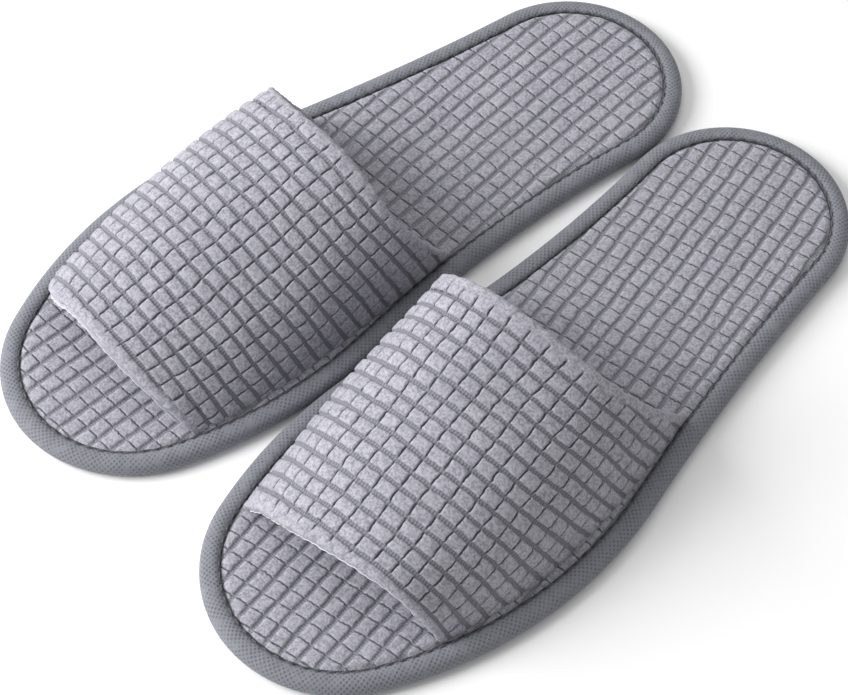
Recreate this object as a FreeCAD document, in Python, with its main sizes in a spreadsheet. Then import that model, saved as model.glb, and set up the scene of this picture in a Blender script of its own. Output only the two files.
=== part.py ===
import FreeCAD, Part
import math
import os

import Sketcher

# A pair of open-toe, open-heel spa slippers, in millimetres, +Z up.
# Both slippers lie flat, toes towards -Y, with their inner sides facing each
# other across a small gap at X = 0.  The origin is the bottom centre of the
# pair's box.  Each slipper is drawn in a frame of its own first: the heel tip
# at y = 0, the toe at +y, and the inner side of the foot at -x for a right
# slipper.  A left slipper is the mirror image.

DIMENSIONS = [
    ("toe_radius", 47.0, "radius of the toe arc"),
    ("toe_centre_x", -2.0, "centre of the toe arc, across"),
    ("toe_centre_y", 241.0, "centre of the toe arc, along"),
    ("outer_ball_radius", 156.0, "radius of the outer side at the ball"),
    ("outer_ball_angle", 27.0, "where the outer side meets the toe arc, degrees"),
    ("inner_ball_radius", 175.0, "radius of the inner side at the ball"),
    ("inner_ball_angle", 160.0, "where the inner side meets the toe arc, degrees"),
    ("heel_radius", 42.0, "radius of the heel arc"),
    ("heel_centre_x", -14.5, "centre of the heel arc, across"),
    ("waist_radius", 490.0, "radius of the hollow waist on the inner side"),
    ("outer_side_radius", 900.0, "radius of the shallow hollow on the outer side"),
    ("sole_thickness", 6.0, "whole sole with its edge tape"),
    ("tape_thickness", 0.6, "edge tape"),
    ("edge_round", 2.9, "rounding of the taped edge"),
    ("stack_inset", 2.2, "sole layers, inside the taped edge"),
    ("band_width", 7.3, "top and bottom bands of the edge tape"),
    ("lip_gap", 0.3, "between the tape's inner rim and what it frames"),
    ("outsole_thickness", 2.8, "foam rubber outsole"),
    ("sponge_thickness", 1.6, "insole sponge"),
    ("cover_thickness", 1.0, "insole cover where the tape presses it"),
    ("pair_gap", 0.6, "between the two slippers"),
    ("heel_stagger", 1.4, "how far the right heel stands behind the left"),
    ("vamp_cover_thickness", 1.8, "plush cover of the vamp"),
    ("vamp_foam_thickness", 1.0, "sponge inside the vamp"),
    ("vamp_lining_thickness", 0.5, "lining of the vamp"),
    ("thread_radius", 0.35, "sewing thread"),
    ("stitch_length", 3.0, "one visible stitch"),
    ("stitch_pitch", 4.6, "from one stitch to the next"),
    ("rim_seam_inset", 6.7, "seam through the tape, from the sole's edge"),
    ("hem_width", 5.0, "hem seam, from the vamp's edge"),
    ("thread_sink", 0.15, "how far a stitch beds into the cloth"),
]

# Poles of each vamp's two open edges, from the inner foot to the outer foot:
# across, along, and height above the insole.  The two vamps are puffed up a
# little differently.
VAMP_REAR_POLES = {
    "right": [(-47, 132, 0), (-52, 154, 26), (-27, 154, 48), (19, 156, 52), (44, 147, 35), (39, 127, 0)],
    "left": [(-47, 130, 0), (-55, 156, 27), (-44, 163, 53), (10, 154, 52), (40, 146, 31), (39, 119, 0)],
}
VAMP_FRONT_POLES = {
    "right": [(-43, 246, 0), (-34, 250, 13), (-12, 255, 25), (12, 252, 29), (31, 254, 17), (40, 238, 0)],
    "left": [(-43, 251, 0), (-37, 251, 10), (-20, 254, 22), (9, 249, 30), (33, 243, 25), (40, 237, 0)],
}

# How much of the foot line's bulge each pole across the vamp follows.
VAMP_FOOT_FOLLOW = (1.0, 1.0, 0.35, 0.35, 1.0, 1.0)
VAMP_ROWS = (0.0, 1 / 6, 0.5, 5 / 6, 1.0)

# Knots of the vamp's cubic surface, and where each pole acts along it.
VAMP_KNOTS_ACROSS, VAMP_MULTS_ACROSS = [0, 1 / 3, 2 / 3, 1], [4, 1, 1, 4]
VAMP_KNOTS_ALONG, VAMP_MULTS_ALONG = [0, 0.5, 1], [4, 1, 4]
VAMP_STATIONS_ACROSS = (0.0, 1 / 9, 1 / 3, 2 / 3, 8 / 9, 1.0)
VAMP_STATIONS_ALONG = VAMP_ROWS

SIDES = {"right": 1, "left": -1}

doc = FreeCAD.newDocument("spa_slippers")
sheet = doc.addObject("Spreadsheet::Sheet", "Dimensions")


def fill_sheet():
    """Writes every driving dimension, with its alias and its meaning."""
    for row, (alias, value, meaning) in enumerate(DIMENSIONS, start=1):
        sheet.set("A%d" % row, meaning)
        sheet.set("B%d" % row, str(value))
        sheet.setAlias("B%d" % row, alias)
    doc.recompute()


def dim(alias):
    """One driving dimension as a number."""
    return float(sheet.get(alias))


def polar(centre, radius, angle):
    """The point at an angle on a circle in the XY plane."""
    return FreeCAD.Vector(centre.x + radius * math.cos(angle), centre.y + radius * math.sin(angle), 0)


def heading(start, end):
    """The angle of the line from one point to another."""
    return math.atan2(end.y - start.y, end.x - start.x)


def hollow_centre(ball, ball_r, heel, heel_r, radius, turn):
    """The centre of a hollow arc that touches the ball's arc and the heel's from outside."""
    to_ball, to_heel = radius + ball_r, radius + heel_r
    span = ball.distanceToPoint(heel)
    along = (span ** 2 + to_ball ** 2 - to_heel ** 2) / (2 * span)
    return polar(ball, to_ball, heading(ball, heel) + turn * math.acos(along / to_ball))


def arc(centre, radius, start, end):
    """An arc segment that runs counter-clockwise from one angle to another."""
    return ("arc", centre, radius, start, start + (end - start) % (2 * math.pi))


def sole_segments(inset, hand):
    """The sole's outline, moved inwards by inset.

    The toe arc runs into a flatter arc at each side of the ball.  From there
    a shallow hollow leads to the heel arc on the outer side, and a deeper
    one, the waist, on the inner side.  Each segment is
    ("arc", centre, radius, first angle, last angle), counter-clockwise.
    """
    toe_r, heel_r = dim("toe_radius"), dim("heel_radius")
    outer_r, inner_r = dim("outer_ball_radius"), dim("inner_ball_radius")
    waist_r, side_r = dim("waist_radius"), dim("outer_side_radius")
    outer_a, inner_a = math.radians(dim("outer_ball_angle")), math.radians(dim("inner_ball_angle"))
    toe = FreeCAD.Vector(dim("toe_centre_x"), dim("toe_centre_y"), 0)
    heel = FreeCAD.Vector(dim("heel_centre_x"), heel_r, 0)
    outer = polar(toe, toe_r - outer_r, outer_a)
    inner = polar(toe, toe_r - inner_r, inner_a)
    waist = hollow_centre(inner, inner_r, heel, heel_r, waist_r, -1)
    side = hollow_centre(outer, outer_r, heel, heel_r, side_r, 1)

    segments = [
        arc(toe, toe_r - inset, outer_a, inner_a),
        arc(inner, inner_r - inset, inner_a, heading(inner, waist)),
        arc(waist, waist_r + inset, heading(waist, heel), heading(waist, inner)),
        arc(heel, heel_r - inset, heading(heel, waist), heading(heel, side)),
        arc(side, side_r + inset, heading(side, outer), heading(side, heel)),
        arc(outer, outer_r - inset, heading(outer, side), outer_a),
    ]
    return [mirrored(segment) for segment in segments] if hand < 0 else segments


def mirrored(segment):
    """A segment's mirror image in x."""
    kind, centre, radius, start, end = segment
    return (kind, FreeCAD.Vector(-centre.x, centre.y, 0), radius, math.pi - end, math.pi - start)


def segment_curve(segment):
    """A segment as a Part curve."""
    circle = Part.Circle(segment[1], FreeCAD.Vector(0, 0, 1), segment[2])
    return Part.ArcOfCircle(circle, segment[3], segment[4])


def inner_reach():
    """How far the outline reaches towards the other slipper."""
    edges = [segment_curve(segment).toShape() for segment in sole_segments(0, 1)]
    return -min(edge.BoundBox.XMin for edge in edges)


def sole_length():
    """From the heel tip to the toe tip."""
    return dim("toe_centre_y") + dim("toe_radius")


def slipper_placement(hand):
    """Turns a slipper's toe to -Y and sets it on its side of the pair."""
    across = -hand * (inner_reach() + dim("pair_gap") / 2)
    along = sole_length() / 2 + hand * dim("heel_stagger") / 2
    return FreeCAD.Placement(FreeCAD.Vector(across, along, 0), FreeCAD.Rotation(FreeCAD.Vector(0, 0, 1), 180))


def new_body(label, hand):
    """An empty body at its slipper's place."""
    body = doc.addObject("PartDesign::Body", label)
    body.Label = label
    body.Placement = slipper_placement(hand)
    return body


def outline_sketch(body, name, inset, hand, level="0"):
    """A sketch of the outline, moved inwards, at a height given by an expression."""
    sketch = body.newObject("Sketcher::SketchObject", name)
    plane = next(feature for feature in body.Origin.OriginFeatures if feature.Role == "XY_Plane")
    sketch.AttachmentSupport = [(plane, "")]
    sketch.MapMode = "FlatFace"
    sketch.setExpression("AttachmentOffset.Base.z", level)
    curves = [segment_curve(segment) for segment in sole_segments(inset, hand)]
    sketch.addGeometry(curves, False)
    ends = [(i, which, point) for i, curve in enumerate(curves)
            for which, point in ((1, curve.StartPoint), (2, curve.EndPoint))]
    for i, which, point in ends:
        for j, other_which, other in ends:
            if j > i and point.distanceToPoint(other) < 1e-6:
                sketch.addConstraint(Sketcher.Constraint("Coincident", i, which, j, other_which))
    return sketch


def pad(body, sketch, name, length):
    """A pad upwards, its length bound to the sheet."""
    feature = body.newObject("PartDesign::Pad", name)
    feature.Profile = sketch
    feature.setExpression("Length", length)
    doc.recompute()
    return feature


def pocket(body, sketch, name, length):
    """A pocket upwards from its sketch, its depth bound to the sheet."""
    before = body.Shape.Volume
    feature = body.newObject("PartDesign::Pocket", name)
    feature.Profile = sketch
    feature.Reversed = True
    feature.setExpression("Length", length)
    doc.recompute()
    if body.Shape.Volume >= before:
        raise RuntimeError("%s of %s cuts nothing" % (name, body.Label))
    return feature


def make_outsole(side, hand):
    """The foam rubber outsole, rebated underneath for the edge tape."""
    body = new_body(side + "_outsole", hand)
    tread = outline_sketch(body, side + "_tread_outline", dim("band_width") + dim("lip_gap"), hand)
    pad(body, tread, side + "_tread", "Dimensions.outsole_thickness")
    rim = outline_sketch(body, side + "_rim_outline", dim("stack_inset"), hand, "Dimensions.tape_thickness")
    pad(body, rim, side + "_rim", "Dimensions.outsole_thickness - Dimensions.tape_thickness")
    return body


def make_sponge(side, hand):
    """The flat sponge between the outsole and the insole cover."""
    body = new_body(side + "_insole_sponge", hand)
    sketch = outline_sketch(body, side + "_sponge_outline", dim("stack_inset"), hand, "Dimensions.outsole_thickness")
    pad(body, sketch, side + "_sponge_sheet", "Dimensions.sponge_thickness")
    return body


def make_insole_cover(side, hand):
    """The plush insole cover: pressed thin under the tape and full inside it."""
    body = new_body(side + "_insole_cover", hand)
    level = "Dimensions.outsole_thickness + Dimensions.sponge_thickness"
    pressed = outline_sketch(body, side + "_pressed_outline", dim("stack_inset"), hand, level)
    pad(body, pressed, side + "_pressed_rim", "Dimensions.cover_thickness")
    full = outline_sketch(body, side + "_plush_outline", dim("band_width") + dim("lip_gap"), hand, level)
    pad(body, full, side + "_plush", "Dimensions.sole_thickness - %s" % level.replace("+", "-"))
    return body


def make_edge_binding(side, hand):
    """The tape wrapped round the sole's edge: a rounded ring with a C section."""
    body = new_body(side + "_edge_binding", hand)
    outer = outline_sketch(body, side + "_edge_outline", 0, hand)
    ring = pad(body, outer, side + "_edge_ring", "Dimensions.sole_thickness")
    flat_edges = ["Edge%d" % (i + 1) for i, edge in enumerate(ring.Shape.Edges)
                  if edge.BoundBox.ZLength < 1e-6]
    rounding = body.newObject("PartDesign::Fillet", side + "_edge_rounding")
    rounding.Base = (ring, flat_edges)
    rounding.setExpression("Radius", "Dimensions.edge_round")
    doc.recompute()
    slot = outline_sketch(body, side + "_slot_outline", dim("stack_inset"), hand, "Dimensions.tape_thickness")
    pocket(body, slot, side + "_slot", "Dimensions.sole_thickness - 2 * Dimensions.tape_thickness")
    window = outline_sketch(body, side + "_window_outline", dim("band_width"), hand)
    pocket(body, window, side + "_window", "Dimensions.sole_thickness")
    return body


def foot_line_x(y, inset, outer):
    """Where the outline, moved inwards, crosses a height y on one side."""
    reach = 200.0
    level = Part.LineSegment(FreeCAD.Vector(-reach, y, 0), FreeCAD.Vector(reach, y, 0))
    crossings = [point.X for segment in sole_segments(inset, 1)
                 for point in segment_curve(segment).intersect(level)]
    return max(crossings) if outer else min(crossings)


def lerp(a, b, t):
    """A value between two others."""
    return a + (b - a) * t


def vamp_poles(side, row):
    """The poles across a vamp at one row, from the front edge (0) to the rear (1)."""
    inset = dim("band_width") + dim("lip_gap")
    base = dim("sole_thickness")
    poles = [FreeCAD.Vector(*[lerp(f, r, row) for f, r in zip(front, rear)])
             for front, rear in zip(VAMP_FRONT_POLES[side], VAMP_REAR_POLES[side])]
    shifts = [foot_line_x(poles[0].y, inset, False) - poles[0].x] * 3
    shifts += [foot_line_x(poles[-1].y, inset, True) - poles[-1].x] * 3
    return [FreeCAD.Vector(pole.x + shift * follow, pole.y, pole.z + base)
            for pole, shift, follow in zip(poles, shifts, VAMP_FOOT_FOLLOW)]


def spline_surface(poles):
    """A clamped cubic surface over its poles, given as rows across the vamp."""
    surface = Part.BSplineSurface()
    surface.buildFromPolesMultsKnots(poles, VAMP_MULTS_ACROSS, VAMP_MULTS_ALONG,
                                     VAMP_KNOTS_ACROSS, VAMP_KNOTS_ALONG, False, False, 3, 3)
    return surface


def vamp_base_surface(side):
    """The outer face of a vamp."""
    return spline_surface([list(column) for column in zip(*[vamp_poles(side, row) for row in VAMP_ROWS])])


def outward_at(surface, u, v):
    """The unit normal that points out of the slipper."""
    return surface.normal(u, v) * math.copysign(1.0, surface.normal(0.5, v).z)


def vamp_level(surface, depth, hand):
    """The surface at one depth inside the vamp.

    Each pole moves inwards along the normal under it.  The poles of the feet
    move level, so that the layers stand side by side on the insole.
    """
    poles = []
    for i, u in enumerate(VAMP_STATIONS_ACROSS):
        row = []
        for j, v in enumerate(VAMP_STATIONS_ALONG):
            outward = outward_at(surface, u, v)
            if u in (0.0, 1.0):
                outward = FreeCAD.Vector(outward.x, outward.y, 0).normalize()
            pole = surface.getPole(i + 1, j + 1) - outward * depth
            row.append(FreeCAD.Vector(hand * pole.x, pole.y, pole.z))
        poles.append(row)
    return spline_surface(poles)


def sheet_between(upper, lower):
    """A closed solid sheet between two surfaces with the same grid."""
    faces = [upper.toShape(), lower.toShape()]
    u0, u1, v0, v1 = upper.bounds()
    p0, p1, q0, q1 = lower.bounds()
    for a, b in ((upper.uIso(u0), lower.uIso(p0)), (upper.uIso(u1), lower.uIso(p1)),
                 (upper.vIso(v0), lower.vIso(q0)), (upper.vIso(v1), lower.vIso(q1))):
        faces.append(Part.makeRuledSurface(a.toShape(), b.toShape()))
    shell = Part.makeShell(faces)
    shell.sewShape()
    solid = Part.makeSolid(shell)
    if solid.Volume < 0:
        solid.reverse()
    return solid


def add_shape(label, shape, hand):
    """A free-form or repeated piece, at its slipper's place."""
    feature = doc.addObject("Part::Feature", label)
    feature.Label = label
    feature.Shape = shape
    feature.Placement = slipper_placement(hand)
    return feature


def stitch(middle, direction, radius, length):
    """One straight stitch, lying along a direction."""
    axis = FreeCAD.Vector(direction).normalize()
    return Part.makeCylinder(radius, length, middle - axis * (length / 2), axis)


def make_rim_thread(side, hand):
    """The seam that sews the tape, the sole layers and the vamp together."""
    outline = Part.Wire(Part.__sortEdges__(
        [segment_curve(segment).toShape() for segment in sole_segments(dim("rim_seam_inset"), hand)]))
    radius = dim("thread_radius")
    height = FreeCAD.Vector(0, 0, dim("sole_thickness") + radius - dim("thread_sink"))
    count = round(outline.Length / dim("stitch_pitch"))
    points = outline.discretize(Number=2 * count + 1)
    stitches = []
    for i in range(0, 2 * count, 2):
        ahead = points[i + 1] - points[i]
        stitches.append(stitch(points[i] + height, ahead, radius, dim("stitch_length")))
    return add_shape(side + "_rim_thread", Part.makeCompound(stitches), hand)


def make_hem_thread(side, hand, name, surface, v):
    """A row of stitches across the vamp, just inside one of its edges."""
    across = surface.vIso(v)
    radius = dim("thread_radius")
    lift = radius - dim("thread_sink")
    count = round(across.length() / dim("stitch_pitch"))
    stitches = []
    for i in range(2, count - 1):
        u = across.parameterAtDistance(across.length() * i / count, across.FirstParameter)
        tangent = across.tangent(u)[0]
        middle = surface.value(u, v) + outward_at(surface, u, v) * lift
        stitches.append(stitch(FreeCAD.Vector(hand * middle.x, middle.y, middle.z),
                               FreeCAD.Vector(hand * tangent.x, tangent.y, tangent.z),
                               radius, dim("stitch_length")))
    return add_shape("%s_%s" % (side, name), Part.makeCompound(stitches), hand)


def make_vamp(side, hand):
    """The vamp's three layers and its two hem seams."""
    surface = vamp_base_surface(side)
    depths = [0.0]
    for alias in ("vamp_cover_thickness", "vamp_foam_thickness", "vamp_lining_thickness"):
        depths.append(depths[-1] + dim(alias))
    levels = [vamp_level(surface, depth, hand) for depth in depths]
    layers = [add_shape("%s_%s" % (side, name), sheet_between(levels[i], levels[i + 1]), hand)
              for i, name in enumerate(("vamp_cover", "vamp_foam", "vamp_lining"))]
    hem = dim("hem_width") / surface.uIso(0.5).length()
    seams = [make_hem_thread(side, hand, "front_hem_thread", surface, hem),
             make_hem_thread(side, hand, "rear_hem_thread", surface, 1 - hem)]
    return layers + seams


def check(pieces):
    """Stops the build if any object failed or any piece is not a sound solid."""
    for item in doc.Objects:
        bad = [state for state in item.State if state in ("Invalid", "Error")]
        if bad:
            raise RuntimeError("%s is %s" % (item.Label, bad))
    for piece in pieces:
        shape = piece.Shape
        if shape.isNull() or not shape.isValid() or not shape.Solids or shape.Volume <= 0:
            raise RuntimeError("%s has no sound solid" % piece.Label)


fill_sheet()
pieces = []
for side, hand in SIDES.items():
    pieces.append(make_outsole(side, hand))
    pieces.append(make_sponge(side, hand))
    pieces.append(make_insole_cover(side, hand))
    pieces.append(make_edge_binding(side, hand))
    pieces.append(make_rim_thread(side, hand))
    pieces.extend(make_vamp(side, hand))
doc.recompute()
check(pieces)

os.makedirs("parts", exist_ok=True)
for piece in pieces:
    piece.Shape.exportStep("parts/%s.step" % piece.Label)
    box = piece.Shape.BoundBox
    print("%-26s %3d solids %10.1f mm3  x %.1f %.1f  y %.1f %.1f  z %.2f %.2f" % (
        piece.Label, len(piece.Shape.Solids), piece.Shape.Volume,
        box.XMin, box.XMax, box.YMin, box.YMax, box.ZMin, box.ZMax))
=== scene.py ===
"""A pair of open-toe, open-heel spa slippers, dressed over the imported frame.

Each slipper is a foam-soled slipper with a waffle-plush insole, a wide
waffle-plush vamp with a pale lining, and an embossed tape round the sole's
edge that one seam holds down.  Lengths are in metres, and the sizes of the
classes are in millimetres where their names end in _mm.
"""

from __future__ import annotations

import logging
import math
from dataclasses import dataclass, field
from enum import Enum

import bpy
import numpy as np
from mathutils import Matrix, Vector

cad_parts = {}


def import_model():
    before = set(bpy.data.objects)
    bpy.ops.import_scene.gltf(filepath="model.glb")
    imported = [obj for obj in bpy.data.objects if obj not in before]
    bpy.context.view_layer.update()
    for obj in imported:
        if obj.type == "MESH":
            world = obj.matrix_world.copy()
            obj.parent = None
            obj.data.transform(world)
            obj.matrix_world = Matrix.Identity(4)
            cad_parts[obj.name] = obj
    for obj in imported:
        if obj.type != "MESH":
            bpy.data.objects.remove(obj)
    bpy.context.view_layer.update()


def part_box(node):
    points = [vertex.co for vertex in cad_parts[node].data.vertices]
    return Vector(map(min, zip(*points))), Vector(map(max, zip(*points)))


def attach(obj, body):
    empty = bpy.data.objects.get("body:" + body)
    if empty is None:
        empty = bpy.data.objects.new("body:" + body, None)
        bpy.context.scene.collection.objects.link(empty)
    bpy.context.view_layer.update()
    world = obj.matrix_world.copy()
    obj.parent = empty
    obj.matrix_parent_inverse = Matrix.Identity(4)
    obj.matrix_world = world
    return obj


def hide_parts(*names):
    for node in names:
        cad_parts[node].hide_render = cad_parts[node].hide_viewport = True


LOG = logging.getLogger("slippers")
MM = 0.001
SEED = 7
HASH_STEPS = (127.1, 311.7, 74.7)
HASH_GAIN = 43758.5453
WAVES_IN_PATTERN = 5
WAVE_SPREAD = (0.7, 1.5)
WAVE_CALM = 3.0

# The insole cover's edge in the CAD stands this far inside the outline.
COVER_INSET_MM = 2.2
COVER_POINTS = 900
ARC_POINTS = 400
FOOT_POINTS = 3000
TOE_REACH_MM = 60
HEEL_TO_MIDDLE_MM = 10
NUDGE = 1e-3


class Side(Enum):
    """Which foot a slipper is for.  The value mirrors its outline."""

    RIGHT = 1
    LEFT = -1

    @property
    def word(self) -> str:
        """The side as the start of a piece's name."""
        return self.name.lower()

    @property
    def body(self) -> str:
        """The moving body that the slipper rides on."""
        return f"{self.word}_slipper"


# ---------------------------------------------------------------- small helpers


def smoothstep(low: float, high: float, value: np.ndarray) -> np.ndarray:
    """A soft step.

    Args:
        low: Where the step starts, giving 0.
        high: Where it ends, giving 1.
        value: What is stepped.

    Returns:
        Values from 0 to 1.
    """
    t = np.clip((value - low) / (high - low), 0.0, 1.0)
    return t * t * (3.0 - 2.0 * t)


def cell_noise(a: np.ndarray, b: np.ndarray, salt: int) -> np.ndarray:
    """A repeatable random number for each whole cell.

    Args:
        a: Cell numbers one way.
        b: Cell numbers the other way.
        salt: Picks another set of numbers.

    Returns:
        Values from 0 to 1, the same for the same cell.
    """
    step_a, step_b, step_salt = HASH_STEPS
    n = np.sin(a * step_a + b * step_b + salt * step_salt) * HASH_GAIN
    return n - np.floor(n)


def waves(x: np.ndarray, y: np.ndarray, size: float, salt: int) -> np.ndarray:
    """Slow, soft unevenness, as in hand-laid cloth.

    Args:
        x: Place one way.
        y: Place the other way, in the same unit.
        size: Rough length of a wave, in that unit.
        salt: Picks another pattern.

    Returns:
        Values from about -1 to 1.
    """
    rng = np.random.default_rng(SEED + salt)
    total = np.zeros_like(np.asarray(x, float) + np.asarray(y, float))
    for _ in range(WAVES_IN_PATTERN):
        turn, phase, scale = rng.uniform(0, math.tau, 2).tolist() + [rng.uniform(*WAVE_SPREAD)]
        total += np.sin((x * math.cos(turn) + y * math.sin(turn)) * math.tau / (size * scale) + phase)
    return total / WAVE_CALM


def deselect() -> None:
    """Leaves nothing selected and no object in edit mode."""
    if bpy.context.object and bpy.context.object.mode != "OBJECT":
        bpy.ops.object.mode_set(mode="OBJECT")
    bpy.ops.object.select_all(action="DESELECT")


def take(piece: bpy.types.Object) -> bpy.types.Object:
    """Selects one object alone and makes it active."""
    deselect()
    piece.select_set(True)
    bpy.context.view_layer.objects.active = piece
    return piece


def cloth_blank(name: str, across: int, along: int) -> bpy.types.Object:
    """A flat blank of cloth as a grid, ready to be laid in shape.

    Args:
        name: The piece's name.
        across: Threads of the grid one way.
        along: Threads of the grid the other way.

    Returns:
        The blank, whose vertex numbers run across first.
    """
    deselect()
    bpy.ops.mesh.primitive_grid_add(x_subdivisions=across - 1, y_subdivisions=along - 1, size=1,
                                    location=(0, 0, 0))
    blank = bpy.context.object
    blank.name = name
    blank.data.name = name
    return blank


def lay(piece: bpy.types.Object, points: np.ndarray) -> None:
    """Moves a blank's vertices to their places.

    Args:
        piece: A piece whose object sits at the origin.
        points: One point for each vertex, in metres.
    """
    piece.data.vertices.foreach_set("co", np.ascontiguousarray(points, np.float32).ravel())
    piece.data.update()


def drop_faces(piece: bpy.types.Object, doomed: np.ndarray) -> None:
    """Cuts faces away in edit mode.

    Args:
        piece: The piece to trim.
        doomed: True for each face that goes.
    """
    take(piece)
    for parts in (piece.data.vertices, piece.data.edges):
        parts.foreach_set("select", np.zeros(len(parts), bool))
    piece.data.polygons.foreach_set("select", doomed)
    bpy.ops.object.mode_set(mode="EDIT")
    bpy.ops.mesh.select_mode(type="FACE")
    bpy.ops.mesh.delete(type="FACE")
    bpy.ops.object.mode_set(mode="OBJECT")


def tidy_faces(piece: bpy.types.Object, merge: float = 1e-6) -> None:
    """Merges doubles and points the faces outwards.

    Args:
        piece: A piece that closes on itself.
        merge: Vertices nearer than this become one.
    """
    take(piece)
    bpy.ops.object.mode_set(mode="EDIT")
    bpy.ops.mesh.select_all(action="SELECT")
    bpy.ops.mesh.remove_doubles(threshold=merge)
    bpy.ops.mesh.normals_make_consistent(inside=False)
    bpy.ops.object.mode_set(mode="OBJECT")


def smooth(piece: bpy.types.Object, angle: float = 60.0) -> None:
    """Shades a piece smooth up to an angle between faces, in degrees."""
    take(piece)
    bpy.ops.object.shade_smooth_by_angle(angle=math.radians(angle))


def apply_all(piece: bpy.types.Object) -> None:
    """Applies every modifier of a piece, in order."""
    take(piece)
    for modifier in list(piece.modifiers):
        bpy.ops.object.modifier_apply(modifier=modifier.name)


def paint(piece: bpy.types.Object, name: str, values: np.ndarray) -> None:
    """Keeps one number for each vertex as an attribute.

    Args:
        piece: The piece that gets the attribute.
        name: The attribute's name.
        values: One number for each vertex.
    """
    layer = piece.data.attributes.get(name) or piece.data.attributes.new(name, "FLOAT", "POINT")
    layer.data.foreach_set("value", np.ascontiguousarray(values, np.float32))


def chart(piece: bpy.types.Object, flat: np.ndarray) -> None:
    """Writes a UV map from one flat place for each vertex.

    Args:
        piece: The piece that gets the map.
        flat: Two numbers for each vertex, in metres of flat cloth.
    """
    layer = piece.data.uv_layers.get("cloth") or piece.data.uv_layers.new(name="cloth")
    corners = np.zeros(len(piece.data.loops), np.int32)
    piece.data.loops.foreach_get("vertex_index", corners)
    layer.data.foreach_set("uv", np.ascontiguousarray(flat[corners], np.float32).ravel())


# ---------------------------------------------------------------- the sole's plan


@dataclass(frozen=True)
class Arc:
    """One round stretch of the outline, counter-clockwise, in millimetres."""

    x: float
    y: float
    radius: float
    start: float
    end: float
    hollow: bool = False

    def radius_at(self, inset: float) -> float:
        """The radius of the stretch after the outline moves inwards."""
        return self.radius + inset if self.hollow else self.radius - inset


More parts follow.
